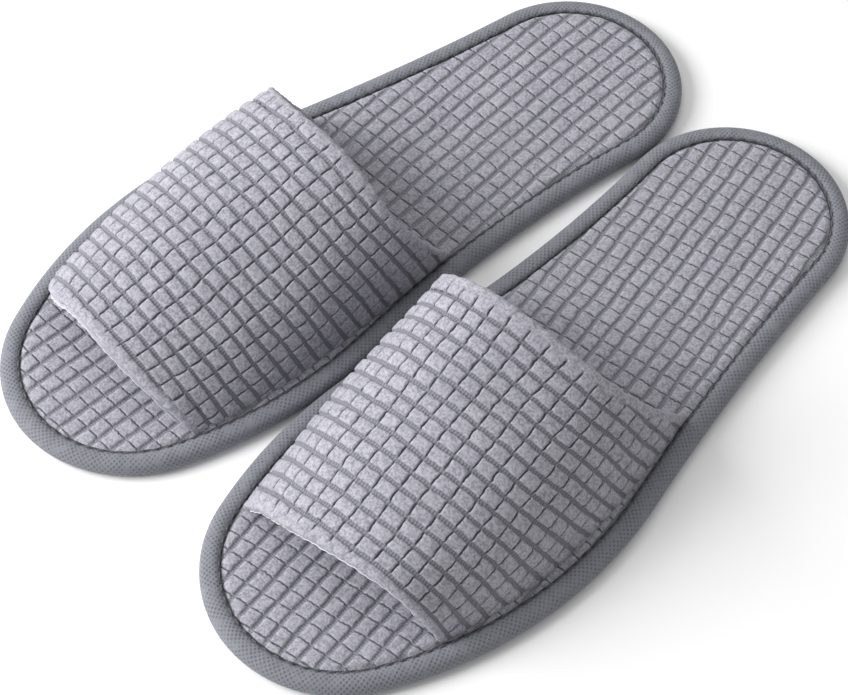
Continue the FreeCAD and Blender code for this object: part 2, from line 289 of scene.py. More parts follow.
@dataclass
class SoleOutline:
    """The outline of one slipper's sole, in the slipper's own frame.

    The heel's tip is at y = 0, the toe is at +y, and the inner side of a
    right foot is at -x.  to_pair turns it into the pair's frame.
    """

    side: Side
    toe_radius: float = 47.0
    toe_x: float = -2.0
    toe_y: float = 241.0
    outer_ball_radius: float = 156.0
    outer_ball_angle: float = 27.0
    inner_ball_radius: float = 175.0
    inner_ball_angle: float = 160.0
    heel_radius: float = 42.0
    heel_x: float = -14.5
    waist_radius: float = 490.0
    outer_side_radius: float = 900.0
    arcs: list[Arc] = field(default_factory=list)
    origin: tuple[float, float] = (0.0, 0.0)

    def __post_init__(self) -> None:
        """Works out the arcs, and where the slipper stands in the pair."""
        toe = np.array([self.toe_x, self.toe_y])
        heel = np.array([self.heel_x, self.heel_radius])
        outer_angle, inner_angle = math.radians(self.outer_ball_angle), math.radians(self.inner_ball_angle)
        outer = self.polar(toe, self.toe_radius - self.outer_ball_radius, outer_angle)
        inner = self.polar(toe, self.toe_radius - self.inner_ball_radius, inner_angle)
        waist = self.hollow_centre(inner, self.inner_ball_radius, heel, self.waist_radius, -1)
        flank = self.hollow_centre(outer, self.outer_ball_radius, heel, self.outer_side_radius, 1)
        self.arcs = [
            self.arc(toe, self.toe_radius, outer_angle, inner_angle),
            self.arc(inner, self.inner_ball_radius, inner_angle, self.heading(inner, waist)),
            self.arc(waist, self.waist_radius, self.heading(waist, heel), self.heading(waist, inner), True),
            self.arc(heel, self.heel_radius, self.heading(heel, waist), self.heading(heel, flank)),
            self.arc(flank, self.outer_side_radius, self.heading(flank, outer),
                     self.heading(flank, heel), True),
            self.arc(outer, self.outer_ball_radius, self.heading(outer, flank), outer_angle),
        ]
        low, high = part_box(f"{self.side.word}_insole_cover")
        own = self.loop(COVER_INSET_MM, COVER_POINTS)[0]
        hand = self.side.value
        edge = high.x if hand > 0 else low.x
        reach = own[:, 0].min()
        self.origin = (edge / MM + hand * reach, high.y / MM + own[:, 1].min())

    @staticmethod
    def polar(centre: np.ndarray, radius: float, angle: float) -> np.ndarray:
        """The point at an angle on a circle."""
        return centre + radius * np.array([math.cos(angle), math.sin(angle)])

    @staticmethod
    def heading(start: np.ndarray, end: np.ndarray) -> float:
        """The angle of the line from one point to another."""
        return math.atan2(end[1] - start[1], end[0] - start[0])

    @staticmethod
    def arc(centre: np.ndarray, radius: float, start: float, end: float, hollow: bool = False) -> Arc:
        """An arc from one angle on to the next turn of the other."""
        x, y = float(centre[0]), float(centre[1])
        return Arc(x, y, radius, start, start + (end - start) % math.tau, hollow)

    def hollow_centre(self, ball: np.ndarray, ball_radius: float, heel: np.ndarray,
                      radius: float, turn: int) -> np.ndarray:
        """The centre of a hollow arc that touches the ball's arc and the heel's.

        Args:
            ball: Centre of the ball's arc.
            ball_radius: Its radius.
            heel: Centre of the heel's arc.
            radius: Radius of the hollow.
            turn: 1 for the outer side and -1 for the inner one.

        Returns:
            The centre.
        """
        to_ball, to_heel = radius + ball_radius, radius + self.heel_radius
        span = float(np.hypot(*(ball - heel)))
        along = (span**2 + to_ball**2 - to_heel**2) / (2 * span)
        return self.polar(ball, to_ball, self.heading(ball, heel) + turn * math.acos(along / to_ball))

    def to_pair(self, points: np.ndarray) -> np.ndarray:
        """Turns own-frame points, in millimetres, into the pair's frame.

        Args:
            points: Rows of x, y and perhaps z, for a right foot.

        Returns:
            The same points in the pair's frame, still in millimetres.
        """
        moved = np.array(points, float)
        moved[:, 0] = self.origin[0] - self.side.value * points[:, 0]
        moved[:, 1] = self.origin[1] - points[:, 1]
        return moved

    def loop(self, inset: float, count: int) -> tuple[np.ndarray, np.ndarray]:
        """Evenly spaced points round the outline.

        Args:
            inset: How far the outline moves inwards, in millimetres.
            count: How many points.

        Returns:
            The points and the inward normals, both in the slipper's own frame.
        """
        fine, normals = [], []
        for arc in self.arcs:
            ends = (arc.end, arc.start) if arc.hollow else (arc.start, arc.end)
            t = np.linspace(*ends, ARC_POINTS)[:-1]
            ray = np.column_stack([np.cos(t), np.sin(t)])
            fine.append(np.array([arc.x, arc.y]) + arc.radius_at(inset) * ray)
            normals.append(ray if arc.hollow else -ray)
        line, ray = np.vstack(fine), np.vstack(normals)
        closed = np.vstack([line, line[:1]])
        travel = np.concatenate([[0], np.cumsum(np.hypot(*np.diff(closed, axis=0).T))])
        wanted = np.arange(count) * travel[-1] / count
        ray = np.vstack([ray, ray[:1]])
        points = np.column_stack([np.interp(wanted, travel, closed[:, i]) for i in (0, 1)])
        inward = np.column_stack([np.interp(wanted, travel, ray[:, i]) for i in (0, 1)])
        return points, inward / np.hypot(*inward.T)[:, None]

    def length(self, inset: float) -> float:
        """The length of the outline, in millimetres."""
        return sum(arc.radius_at(inset) * (arc.end - arc.start) for arc in self.arcs)

    def inset_of(self, points: np.ndarray) -> np.ndarray:
        """How far inside the outline each point is.

        Args:
            points: Rows of x and y in the slipper's own frame.

        Returns:
            Distances in millimetres, negative outside.
        """
        best = np.full(len(points), np.inf)
        for arc in self.arcs:
            away = points - np.array([arc.x, arc.y])
            far = np.hypot(*away.T)
            angle = np.mod(np.arctan2(away[:, 1], away[:, 0]) - arc.start, math.tau)
            within = angle <= arc.end - arc.start + 1e-6
            depth = (far - arc.radius) if arc.hollow else (arc.radius - far)
            best = np.where(within & (np.abs(depth) < np.abs(best)), depth, best)
        return best

    def foot_x(self, y: float, inset: float, outer: bool) -> float:
        """Where the moved outline crosses a line across the slipper.

        Args:
            y: Place of the line along the slipper.
            inset: How far the outline moves inwards.
            outer: True for the outer side of the foot.

        Returns:
            The crossing's x.
        """
        points, _ = self.loop(inset, FOOT_POINTS)
        middle = self.toe_x if y > self.toe_y - TOE_REACH_MM else self.heel_x + HEEL_TO_MIDDLE_MM
        half = points[(points[:, 0] > middle) == outer]
        near = half[np.argsort(np.abs(half[:, 1] - y))[:2]]
        return float(near[:, 0].mean())


# ---------------------------------------------------------------- the waffle cloth


# Each way a thread strays from straight: how far and over what length, in millimetres, and a salt.
ACROSS_STRAYS = ((0.26, 24.0, 0), (0.12, 7.0, 1), (0.20, 1.7, 11))
ALONG_STRAYS = ((0.32, 27.0, 2), (0.14, 6.0, 3), (0.20, 1.5, 12))

# A vamp's cloth is doubled by its foam backing, so it has fewer threads to a pillow.
VAMP_CHANNEL_THREADS = (0.0, 0.06, 0.115, 0.16, 0.22, 0.40, 0.60, 0.78, 0.84, 0.885, 0.94)
VAMP_CUT_THREADS = (0.0, 0.03, 0.07, 0.13, 0.28, 0.50, 0.72, 0.87, 0.93, 0.97)


@dataclass(frozen=True)
class Waffle:
    """The waffle of a plush cloth: square pillows of pile.

    Wide soft channels part the pillows one way, and narrow cuts the other.
    """

    channel_pitch_mm: float = 6.2
    cut_pitch_mm: float = 6.8
    channel_share: float = 0.25
    cut_share: float = 0.065
    pile_mm: float = 0.95
    channel_floor: float = 0.25
    cut_floor: float = 0.35
    salt: int = 0
    channel_threads: tuple[float, ...] = (0.0, 0.06, 0.115, 0.16, 0.22, 0.34, 0.5, 0.66, 0.78, 0.84,
                                          0.885, 0.94)
    cut_threads: tuple[float, ...] = (0.0, 0.03, 0.07, 0.13, 0.25, 0.42, 0.58, 0.75, 0.87, 0.93, 0.97)
    swell: float = 0.035
    channel_slope: float = 0.12
    cut_slopes: tuple[float, float] = (0.05, 0.07)
    crown_drop: float = 0.10
    plumpness: tuple[float, float] = (0.9, 0.2)
    lean: float = 0.05
    cut_in_channel: float = 0.20

    def threads(self, low: float, high: float, channels: bool) -> np.ndarray:
        """Grid lines over a stretch of cloth, close together at the channels or cuts.

        Args:
            low: Start of the stretch, in millimetres.
            high: End of it.
            channels: True for lines along the channels.

        Returns:
            The places of the lines.
        """
        pitch, parts = ((self.channel_pitch_mm, self.channel_threads) if channels
                        else (self.cut_pitch_mm, self.cut_threads))
        cells = np.arange(math.floor(low / pitch), math.ceil(high / pitch) + 1)
        return (cells[:, None] + np.array(parts)[None]).ravel() * pitch

    def strayed(self, a: np.ndarray, b: np.ndarray) -> np.ndarray:
        """Where the threads of the cloth really run.

        Args:
            a: Place across the channels on an even cloth, in millimetres.
            b: Place along the channels.

        Returns:
            Rows of both places on the uneven cloth.
        """
        da, db = [sum(size * waves(a, b, length, self.salt + salt) for size, length, salt in strays)
                  for strays in (ACROSS_STRAYS, ALONG_STRAYS)]
        return np.column_stack([a + da, b + db])

    def relief(self, a: np.ndarray, b: np.ndarray) -> dict[str, np.ndarray]:
        """The relief of the cloth.

        Args:
            a: Place across the channels, in millimetres of flat cloth.
            b: Place along the channels.

        Returns:
            rise in millimetres over the ground weave, and channel, cut and tuft
            from 0 to 1 for the dyer.
        """
        i, j = np.floor(a / self.channel_pitch_mm), np.floor(b / self.cut_pitch_mm)
        s = np.abs(a / self.channel_pitch_mm - i - 0.5) * 2
        t = np.abs(b / self.cut_pitch_mm - j - 0.5) * 2
        swell = self.swell * (cell_noise(i, j, self.salt) - 0.5)
        edge_a = 1 - self.channel_share + swell
        edge_b = 1 - self.cut_share + swell * 0.6
        wall_a = smoothstep(edge_a + self.channel_slope, edge_a - self.channel_slope, s)
        wall_b = smoothstep(edge_b + self.cut_slopes[0], edge_b - self.cut_slopes[1], t)
        drop = self.crown_drop
        crown = 1 - drop * np.clip(s / edge_a, 0, 1) ** 3 - drop * np.clip(t / edge_b, 0, 1) ** 4
        plump = self.plumpness[0] + self.plumpness[1] * cell_noise(i, j, self.salt + 5)
        lean = self.lean * (a / self.channel_pitch_mm - i - 0.5) * (cell_noise(i, j, self.salt + 6) - 0.5)
        body = self.cut_in_channel + (1 - self.cut_in_channel) * wall_a
        tuft = (plump * crown + lean) * (self.cut_floor + (1 - self.cut_floor) * wall_b)
        rise = self.pile_mm * (tuft * wall_a + self.channel_floor * (1 - wall_a))
        return {
            "rise": rise,
            "channel": 1 - wall_a,
            "cut": (1 - wall_b) * body,
            "tuft": cell_noise(i, j, self.salt + 8),
        }


@dataclass(frozen=True)
class InsoleLie:
    """How the threads run on an insole, round the slipper's middle, in millimetres."""

    line: tuple[float, ...]
    start: float
    rise: float
    stretch: float

    def leans(self, y: np.ndarray) -> np.ndarray:
        """How far a channel has wandered across at a place along the sole."""
        return sum(factor * y**power for power, factor in enumerate(self.line))

    def place(self, a: np.ndarray, b: np.ndarray) -> np.ndarray:
        """Lays flat places on the sole.

        Args:
            a: Place across the channels.
            b: Place along them.

        Returns:
            Rows of x and y round the slipper's middle.
        """
        level = self.start + b + self.stretch * b**2
        x, y = a, level
        for _ in range(5):
            x = a + self.leans(y)
            y = level + self.rise * x
        return np.column_stack([x, y])

    def reach(self, points: np.ndarray) -> tuple[float, float, float, float]:
        """The flat cloth that covers some points, as low and high a, low and high b."""
        a = points[:, 0] - self.leans(points[:, 1])
        b = points[:, 1] - self.rise * points[:, 0] - self.start
        slack = self.stretch * float(np.abs(b).max()) ** 2 + 3
        return a.min() - 3, a.max() + 3, b.min() - slack, b.max() + slack


@dataclass(frozen=True)
class VampLie:
    """How the threads run on a vamp laid flat, in millimetres.

    Near one foot the channels bend away from straight, by a slope that
    changes along the vamp, and the cuts can be bowed.
    """

    channel_start: float
    cut_start: float
    foot: int
    bend_from: float
    slope: float
    slope_gain: float
    slope_range: tuple[float, float]
    bow: float = 0.0
    ease: float = 8.0

    def place(self, a: np.ndarray, b: np.ndarray) -> np.ndarray:
        """Flat places of threads, as rows across and along the vamp."""
        x, y = b + self.cut_start, a + self.channel_start
        past = self.ease * np.log1p(np.exp((self.foot * x - self.bend_from) / self.ease))
        slope = np.clip(self.slope + self.slope_gain * y, *self.slope_range)
        bowed = self.bow * y**2 * smoothstep(-5.0, 30.0, x)
        return np.column_stack([x + bowed, y + slope * past])


# ---------------------------------------------------------------- finishes


class Nodes:
    """A short way to wire a material's nodes."""

    def __init__(self, name: str) -> None:
        """Starts an empty material with a Principled shader."""
        self.material = bpy.data.materials.new(name)
        self.material.use_nodes = True
        self.tree = self.material.node_tree
        self.tree.nodes.clear()
        out = self.tree.nodes.new("ShaderNodeOutputMaterial")
        self.shader = self.tree.nodes.new("ShaderNodeBsdfPrincipled")
        self.tree.links.new(self.shader.outputs[0], out.inputs["Surface"])

    def add(self, kind: str, inputs: dict | None = None, **settings: object) -> bpy.types.Node:
        """Adds a node.

        Args:
            kind: The node's type, without ShaderNode.
            inputs: Sockets by name or number, each a value or another socket.
            settings: The node's own properties.

        Returns:
            The node.
        """
        node = self.tree.nodes.new("ShaderNode" + kind)
        for key, value in settings.items():
            setattr(node, key, value)
        for key, value in (inputs or {}).items():
            if isinstance(value, bpy.types.NodeSocket):
                self.tree.links.new(value, node.inputs[key])
            else:
                node.inputs[key].default_value = value
        return node

    def math(self, operation: str, a: object, b: object = 0.0) -> bpy.types.NodeSocket:
        """One sum on two numbers or sockets."""
        return self.add("Math", {0: a, 1: b}, operation=operation).outputs[0]

    def attribute(self, name: str) -> bpy.types.NodeSocket:
        """A number kept on the piece's vertices."""
        return self.add("Attribute", attribute_name=name).outputs["Fac"]

    def noise(self, place: bpy.types.NodeSocket, scale: float, detail: float = 2.0,
              rough: float = 0.55) -> bpy.types.NodeSocket:
        """A noise from 0 to 1, with scale in waves a metre."""
        return self.add("TexNoise", {"Vector": place, "Scale": scale, "Detail": detail,
                                     "Roughness": rough}).outputs["Fac"]

    def mix(self, share: object, a: object, b: object) -> bpy.types.NodeSocket:
        """Mixes two colours."""
        node = self.add("Mix", data_type="RGBA", blend_type="MIX")
        for index, value in ((0, share), (6, a), (7, b)):
            if isinstance(value, bpy.types.NodeSocket):
                self.tree.links.new(value, node.inputs[index])
            else:
                node.inputs[index].default_value = value
        return node.outputs[2]

    def step(self, value: object, low: float, high: float) -> bpy.types.NodeSocket:
        """A number mapped from low..high to 0..1, smoothly and clamped."""
        return self.add("MapRange", {"Value": value, "From Min": low, "From Max": high},
                        interpolation_type="SMOOTHSTEP").outputs[0]

    def bump(self, height: bpy.types.NodeSocket, depth: float, strength: float = 1.0,
             under: bpy.types.NodeSocket | None = None) -> bpy.types.NodeSocket:
        """A bump of a real depth, in metres, over another one."""
        inputs = {"Height": height, "Distance": depth, "Strength": strength}
        if under is not None:
            inputs["Normal"] = under
        return self.add("Bump", inputs).outputs[0]

    def set(self, **values: object) -> None:
        """Sets or links the shader's sockets, with _ for a space."""
        for key, value in values.items():
            socket = self.shader.inputs[key.replace("_", " ")]
            if isinstance(value, bpy.types.NodeSocket):
                self.tree.links.new(value, socket)
            else:
                socket.default_value = value


def grey(level: float, warmth: float) -> tuple[float, float, float, float]:
    """A grey in linear light, cooler for a warmth below 0."""
    return (level * (1 + warmth), level * (1 + warmth * 0.2), level * (1 - warmth), 1.0)


@dataclass(frozen=True)
class PlushFinish:
    """Coral-fleece waffle plush: matte, fuzzy, pale on the pillows' tops, with painted shade darkening its
    channels and cuts.
    """

    name: str
    # channel: the channels' ground colour, darker than the pile: partly the ribbed ground weave's own tone,
    # partly painted shade in the channel recesses.
    channel: tuple[float, float, float, float]
    pile: tuple[float, float, float, float] = (0.438, 0.431, 0.483, 1.0)
    shade: tuple[float, float, float, float] = (0.235, 0.231, 0.268, 1.0)
    pale: tuple[float, float, float, float] = (0.60, 0.60, 0.64, 1.0)
    # cut: near-black painted shade for the narrow cuts between pillows and the foot of the channel walls.
    cut: tuple[float, float, float, float] = (0.095, 0.093, 0.112, 1.0)
    fuzz_scale: float = 1250.0
    clump_scale: float = 560.0
    drift_scale: float = 34.0
    rib_scale: float = 300.0
    fuzz_depth: float = 0.00050
    rib_depth: float = 0.00018

    def make(self) -> bpy.types.Material:
        """Builds the material."""
        n = Nodes(self.name)
        place = n.add("TexCoord").outputs["Object"]
        cloth = n.add("UVMap", uv_map="cloth").outputs["UV"]
        fuzz = n.noise(place, self.fuzz_scale)
        clump = n.noise(place, self.clump_scale)
        drift = n.noise(place, self.drift_scale, 2.0, 0.5)
        channel, cut, tuft = n.attribute("channel"), n.attribute("cut"), n.attribute("tuft")
        tufts = n.math("ADD", n.math("MULTIPLY", fuzz, 0.62), n.math("MULTIPLY", clump, 0.38))
        mottle = n.step(tufts, 0.34, 0.64)
        pile = n.mix(mottle, self.shade, self.pile)
        pile = n.mix(n.math("MULTIPLY", n.math("SUBTRACT", tuft, 0.5), 0.16), pile, self.pale)
        pile = n.mix(n.math("MULTIPLY", n.step(drift, 0.35, 0.7), 0.14), pile, self.shade)
        ribs = n.add("TexWave", {"Vector": cloth, "Scale": self.rib_scale, "Distortion": 1.2, "Detail": 1.0,
                                 "Detail Scale": 2.0}, wave_type="BANDS", bands_direction="Y").outputs["Fac"]
        ground = n.mix(n.math("MULTIPLY", ribs, 0.70), self.channel, grey(0.33, -0.05))
        ground = n.mix(n.math("MULTIPLY", mottle, 0.35), ground, self.shade)
        # The channels take their darker ground colour: partly their own tone, partly painted shade in the
        # recess.
        colour = n.mix(n.step(channel, 0.15, 0.85), pile, ground)
        # Painted shade: a dark band at the foot of the channel walls, kept off the channel's flat floor,
        # mixed towards the cut colour.
        floor = n.step(channel, 0.80, 1.0)
        foot = n.math("MULTIPLY", n.step(channel, 0.35, 0.70), n.math("SUBTRACT", 1.0, floor))
        colour = n.mix(n.math("MULTIPLY", foot, 0.22), colour, self.cut)
        # Painted shade: the narrow cuts are darkened towards the cut colour.
        colour = n.mix(n.math("MULTIPLY", n.step(cut, 0.12, 0.80), 0.92), colour, self.cut)
        height = n.math("ADD", n.math("MULTIPLY", fuzz, 0.6), n.math("MULTIPLY", clump, 0.4))
        normal = n.bump(height, self.fuzz_depth, 0.60)
        normal = n.bump(n.math("MULTIPLY", ribs, n.step(channel, 0.4, 0.9)), self.rib_depth, 0.6, normal)
        n.set(Base_Color=colour, Roughness=0.92, Normal=normal)
        n.set(Sheen_Weight=0.30, Sheen_Roughness=0.35, Sheen_Tint=(0.93, 0.93, 0.97, 1.0),
              Specular_IOR_Level=0.12)
        return n.material


@dataclass(frozen=True)
class TapeFinish:
    """Non-woven edge tape: blue-grey, embossed with staggered dots, with painted shadow along the seam's
    groove and the tape's inner rim.
    """

    name: str
    face: tuple[float, float, float, float] = (0.205, 0.208, 0.238, 1.0)
    dot: tuple[float, float, float, float] = (0.090, 0.092, 0.108, 1.0)
    dot_pitch_mm: float = 1.95
    stray_scale: float = 170.0
    wobble_scale: float = 260.0
    fibre_scale: float = 1500.0

    def make(self) -> bpy.types.Material:
        """Builds the material."""
        n = Nodes(self.name)
        cloth = n.add("UVMap", uv_map="cloth").outputs["UV"]
        place = n.add("TexCoord").outputs["Object"]
        fine = math.tau / (self.dot_pitch_mm * MM)
        stray = n.math("MULTIPLY", n.noise(place, self.stray_scale, 2.0, 0.5), 1.5)
        parts = n.add("SeparateXYZ", {0: cloth})
        rows = n.math("COSINE", n.math("ADD", n.math("MULTIPLY", parts.outputs[0], fine), stray))
        columns = n.math("COSINE", n.math("MULTIPLY", parts.outputs[1], fine))
        dots = n.step(n.math("MULTIPLY", rows, columns), 0.15, 0.55)
        wobble = n.noise(place, self.wobble_scale, 2.0, 0.5)
        emboss = n.math("MULTIPLY", dots, n.step(wobble, 0.22, 0.58))
        fibre = n.noise(place, self.fibre_scale, 3.0, 0.6)
        colour = n.mix(n.math("MULTIPLY", fibre, 0.35), self.face, grey(0.28, -0.07))
        colour = n.mix(n.math("MULTIPLY", emboss, 0.62), colour, self.dot)
        # Painted shadow: near-black along the seam's groove and at the inner rim where the tape meets the
        # plush.
        groove_shadow = n.attribute("groove_shadow")
        colour = n.mix(n.math("MULTIPLY", groove_shadow, 0.9), colour, grey(0.022, -0.08))
        normal = n.bump(n.math("SUBTRACT", 1.0, emboss), 0.00030, 0.8)
        normal = n.bump(fibre, 0.00010, 0.5, normal)
        n.set(Base_Color=colour, Roughness=0.78, Normal=normal)
        n.set(Sheen_Weight=0.10, Specular_IOR_Level=0.25)
        return n.material


@dataclass(frozen=True)
class KnitFinish:
    """Smooth pale tricot of the vamp's lining."""

    name: str
    face: tuple[float, float, float, float] = (0.78, 0.77, 0.84, 1.0)

    def make(self) -> bpy.types.Material:
        """Builds the material."""
        n = Nodes(self.name)
        cloth = n.add("UVMap", uv_map="cloth").outputs["UV"]
        place = n.add("TexCoord").outputs["Object"]
        wale = n.add("TexWave", {"Vector": cloth, "Scale": 420.0, "Distortion": 2.0, "Detail": 1.0},
                     wave_type="BANDS", bands_direction="DIAGONAL").outputs["Fac"]
        haze = n.noise(place, 900.0, 3.0, 0.6)
        colour = n.mix(n.math("MULTIPLY", wale, 0.25), self.face, grey(0.50, -0.05))
        colour = n.mix(n.math("MULTIPLY", haze, 0.3), colour, grey(0.80, -0.03))
        height = n.math("ADD", n.math("MULTIPLY", wale, 0.6), n.math("MULTIPLY", haze, 0.4))
        normal = n.bump(height, 0.00015, 0.7)
        n.set(Base_Color=colour, Roughness=0.85, Normal=normal)
        n.set(Sheen_Weight=0.15, Specular_IOR_Level=0.2)
        return n.material


@dataclass(frozen=True)
class FoamFinish:
    """Moulded foam: a fine skin, with a raised grip of small studs if asked for, and painted shade between
    the studs.
    """

    name: str
    face: tuple[float, float, float, float]
    grain: float
    studs: bool = False
    stud_pitch: float = 0.0036
    diagonal: float = 0.7071

    def make(self) -> bpy.types.Material:
        """Builds the material."""
        n = Nodes(self.name)
        place = n.add("TexCoord").outputs["Object"]
        cells = n.add("TexVoronoi", {"Vector": place, "Scale": self.grain}, feature="F1").outputs["Distance"]
        haze = n.noise(place, self.grain * 0.12, 3.0, 0.6)
        colour = n.mix(n.math("MULTIPLY", haze, 0.5), self.face, grey(self.face[0] * 0.72, -0.04))
        normal = n.bump(cells, 0.00012, 0.6)
        if self.studs:
            parts = n.add("SeparateXYZ", {0: place})
            fine = math.tau / self.stud_pitch * self.diagonal
            x, y = parts.outputs[0], parts.outputs[1]
            lines = [n.math("COSINE", n.math("MULTIPLY", n.math(sign, x, y), fine))
                     for sign in ("ADD", "SUBTRACT")]
            stud = n.step(n.math("MULTIPLY", lines[0], lines[1]), 0.25, 0.55)
            normal = n.bump(stud, 0.0006, 0.9, normal)
            # Painted shade: the ground between the studs is darkened.
            colour = n.mix(n.math("MULTIPLY", n.math("SUBTRACT", 1.0, stud), 0.35), colour,
                           grey(self.face[0] * 0.5, -0.04))
        n.set(Base_Color=colour, Roughness=0.7, Normal=normal)
        return n.material


@dataclass(frozen=True)
class ThreadFinish:
    """Twisted polyester thread."""

    name: str
    face: tuple[float, float, float, float] = (0.055, 0.057, 0.070, 1.0)

    def make(self) -> bpy.types.Material:
        """Builds the material."""
        n = Nodes(self.name)
        place = n.add("TexCoord").outputs["Object"]
        twist = n.add("TexWave", {"Vector": place, "Scale": 520.0, "Distortion": 3.0}, wave_type="BANDS",
                      bands_direction="DIAGONAL").outputs["Fac"]
        colour = n.mix(n.math("MULTIPLY", twist, 0.5), self.face, grey(0.14, -0.08))
        n.set(Base_Color=colour, Roughness=0.55, Normal=n.bump(twist, 0.00012, 0.8))
        n.set(Sheen_Weight=0.2)
        return n.material


@dataclass(frozen=True)
class FloorFinish:
    """A plain pale floor."""

    name: str = "pale_floor"

    def make(self) -> bpy.types.Material:
        """Builds the material."""
        n = Nodes(self.name)
        n.set(Base_Color=(0.97, 0.97, 0.97, 1.0), Roughness=0.9, Specular_IOR_Level=0.1)
        return n.material


class Wardrobe:
    """Every finish of the pair, made once."""

    def __init__(self) -> None:
        """Makes the materials."""
        # The vamp's channel colour is darker than the insole's: more painted shade in the vamp's channels.
        self.insole = PlushFinish("insole_waffle_plush", channel=(0.200, 0.197, 0.228, 1.0)).make()
        self.vamp = PlushFinish("vamp_waffle_plush", channel=(0.150, 0.147, 0.174, 1.0)).make()
        self.tape = TapeFinish("dotted_edge_tape").make()
        self.lining = KnitFinish("pale_tricot_lining").make()
        self.sponge = FoamFinish("cream_sponge", (0.62, 0.58, 0.47, 1.0), 1400.0).make()
        self.outsole = FoamFinish("grey_foam_rubber", (0.20, 0.20, 0.22, 1.0), 2600.0, True).make()
        self.thread = ThreadFinish("grey_thread").make()

    @staticmethod
    def dress(piece: bpy.types.Object, material: bpy.types.Material) -> None:
        """Gives a piece one material."""
        piece.data.materials.clear()
        piece.data.materials.append(material)


# ---------------------------------------------------------------- the sole


@dataclass
class Seam:
    """Rows of stitches, each one thread loop that dips into the cloth at its ends."""

    radius_mm: float = 0.34
    length_mm: float = 3.1
    dip_mm: float = 0.55
    joints: tuple[float, ...] = (-0.42, -0.2, 0.0, 0.2, 0.42)
    tip_from: float = 0.95
    tip_share: float = 0.45
    dip_power: float = 2.6

    def one(self) -> bpy.types.Object:
        """One stitch along x, at the origin."""
        deselect()
        bpy.ops.mesh.primitive_cylinder_add(vertices=6, radius=self.radius_mm * MM, depth=self.length_mm * MM,
                                            end_fill_type="NGON", rotation=(0, math.pi / 2, 0))
        stitch = bpy.context.object
        bpy.ops.object.transform_apply(location=True, rotation=True, scale=True)
        bpy.ops.object.mode_set(mode="EDIT")
        for cut in self.joints:
            bpy.ops.mesh.select_all(action="SELECT")
            bpy.ops.mesh.bisect(plane_co=(cut * self.length_mm * MM, 0, 0), plane_no=(1, 0, 0))
        bpy.ops.object.mode_set(mode="OBJECT")
        points = np.zeros(len(stitch.data.vertices) * 3)
        stitch.data.vertices.foreach_get("co", points)
        points = points.reshape(-1, 3)
        along = points[:, 0] / (self.length_mm * MM / 2)
        slim = np.where(np.abs(along) > self.tip_from, self.tip_share, 1.0)
        points[:, 1:] *= slim[:, None]
        points[:, 2] -= self.dip_mm * MM * np.abs(along) ** self.dip_power
        lay(stitch, points)
        return stitch

    def sew(self, name: str, places: np.ndarray, ahead: np.ndarray, up: np.ndarray,
            finish: bpy.types.Material) -> bpy.types.Object:
        """Sews a row.

        Args:
            name: The piece's name.
            places: Middles of the stitches, in metres.
            ahead: Unit directions of the stitches.
            up: Unit directions away from the cloth.
            finish: The thread's material.

        Returns:
            One piece that holds the whole row.
        """
        stitch = self.one()
        shape = np.zeros(len(stitch.data.vertices) * 3)
        stitch.data.vertices.foreach_get("co", shape)
        shape = shape.reshape(-1, 3)
        copies = []
        for place, x_axis, z_axis in zip(places, ahead, up):
            mesh = stitch.data.copy()
            copy = bpy.data.objects.new(name, mesh)
            bpy.context.scene.collection.objects.link(copy)
            y_axis = np.cross(z_axis, x_axis)
            turned = shape @ np.array([x_axis, y_axis, z_axis]) + place
            lay(copy, turned)
            copies.append(copy)
        deselect()
        for copy in copies:
            copy.select_set(True)
        bpy.context.view_layer.objects.active = copies[0]
        bpy.ops.object.join()
        row = bpy.context.object
        row.name = row.data.name = name
        bpy.data.objects.remove(stitch)
        Wardrobe.dress(row, finish)
        smooth(row, 60)
        return row


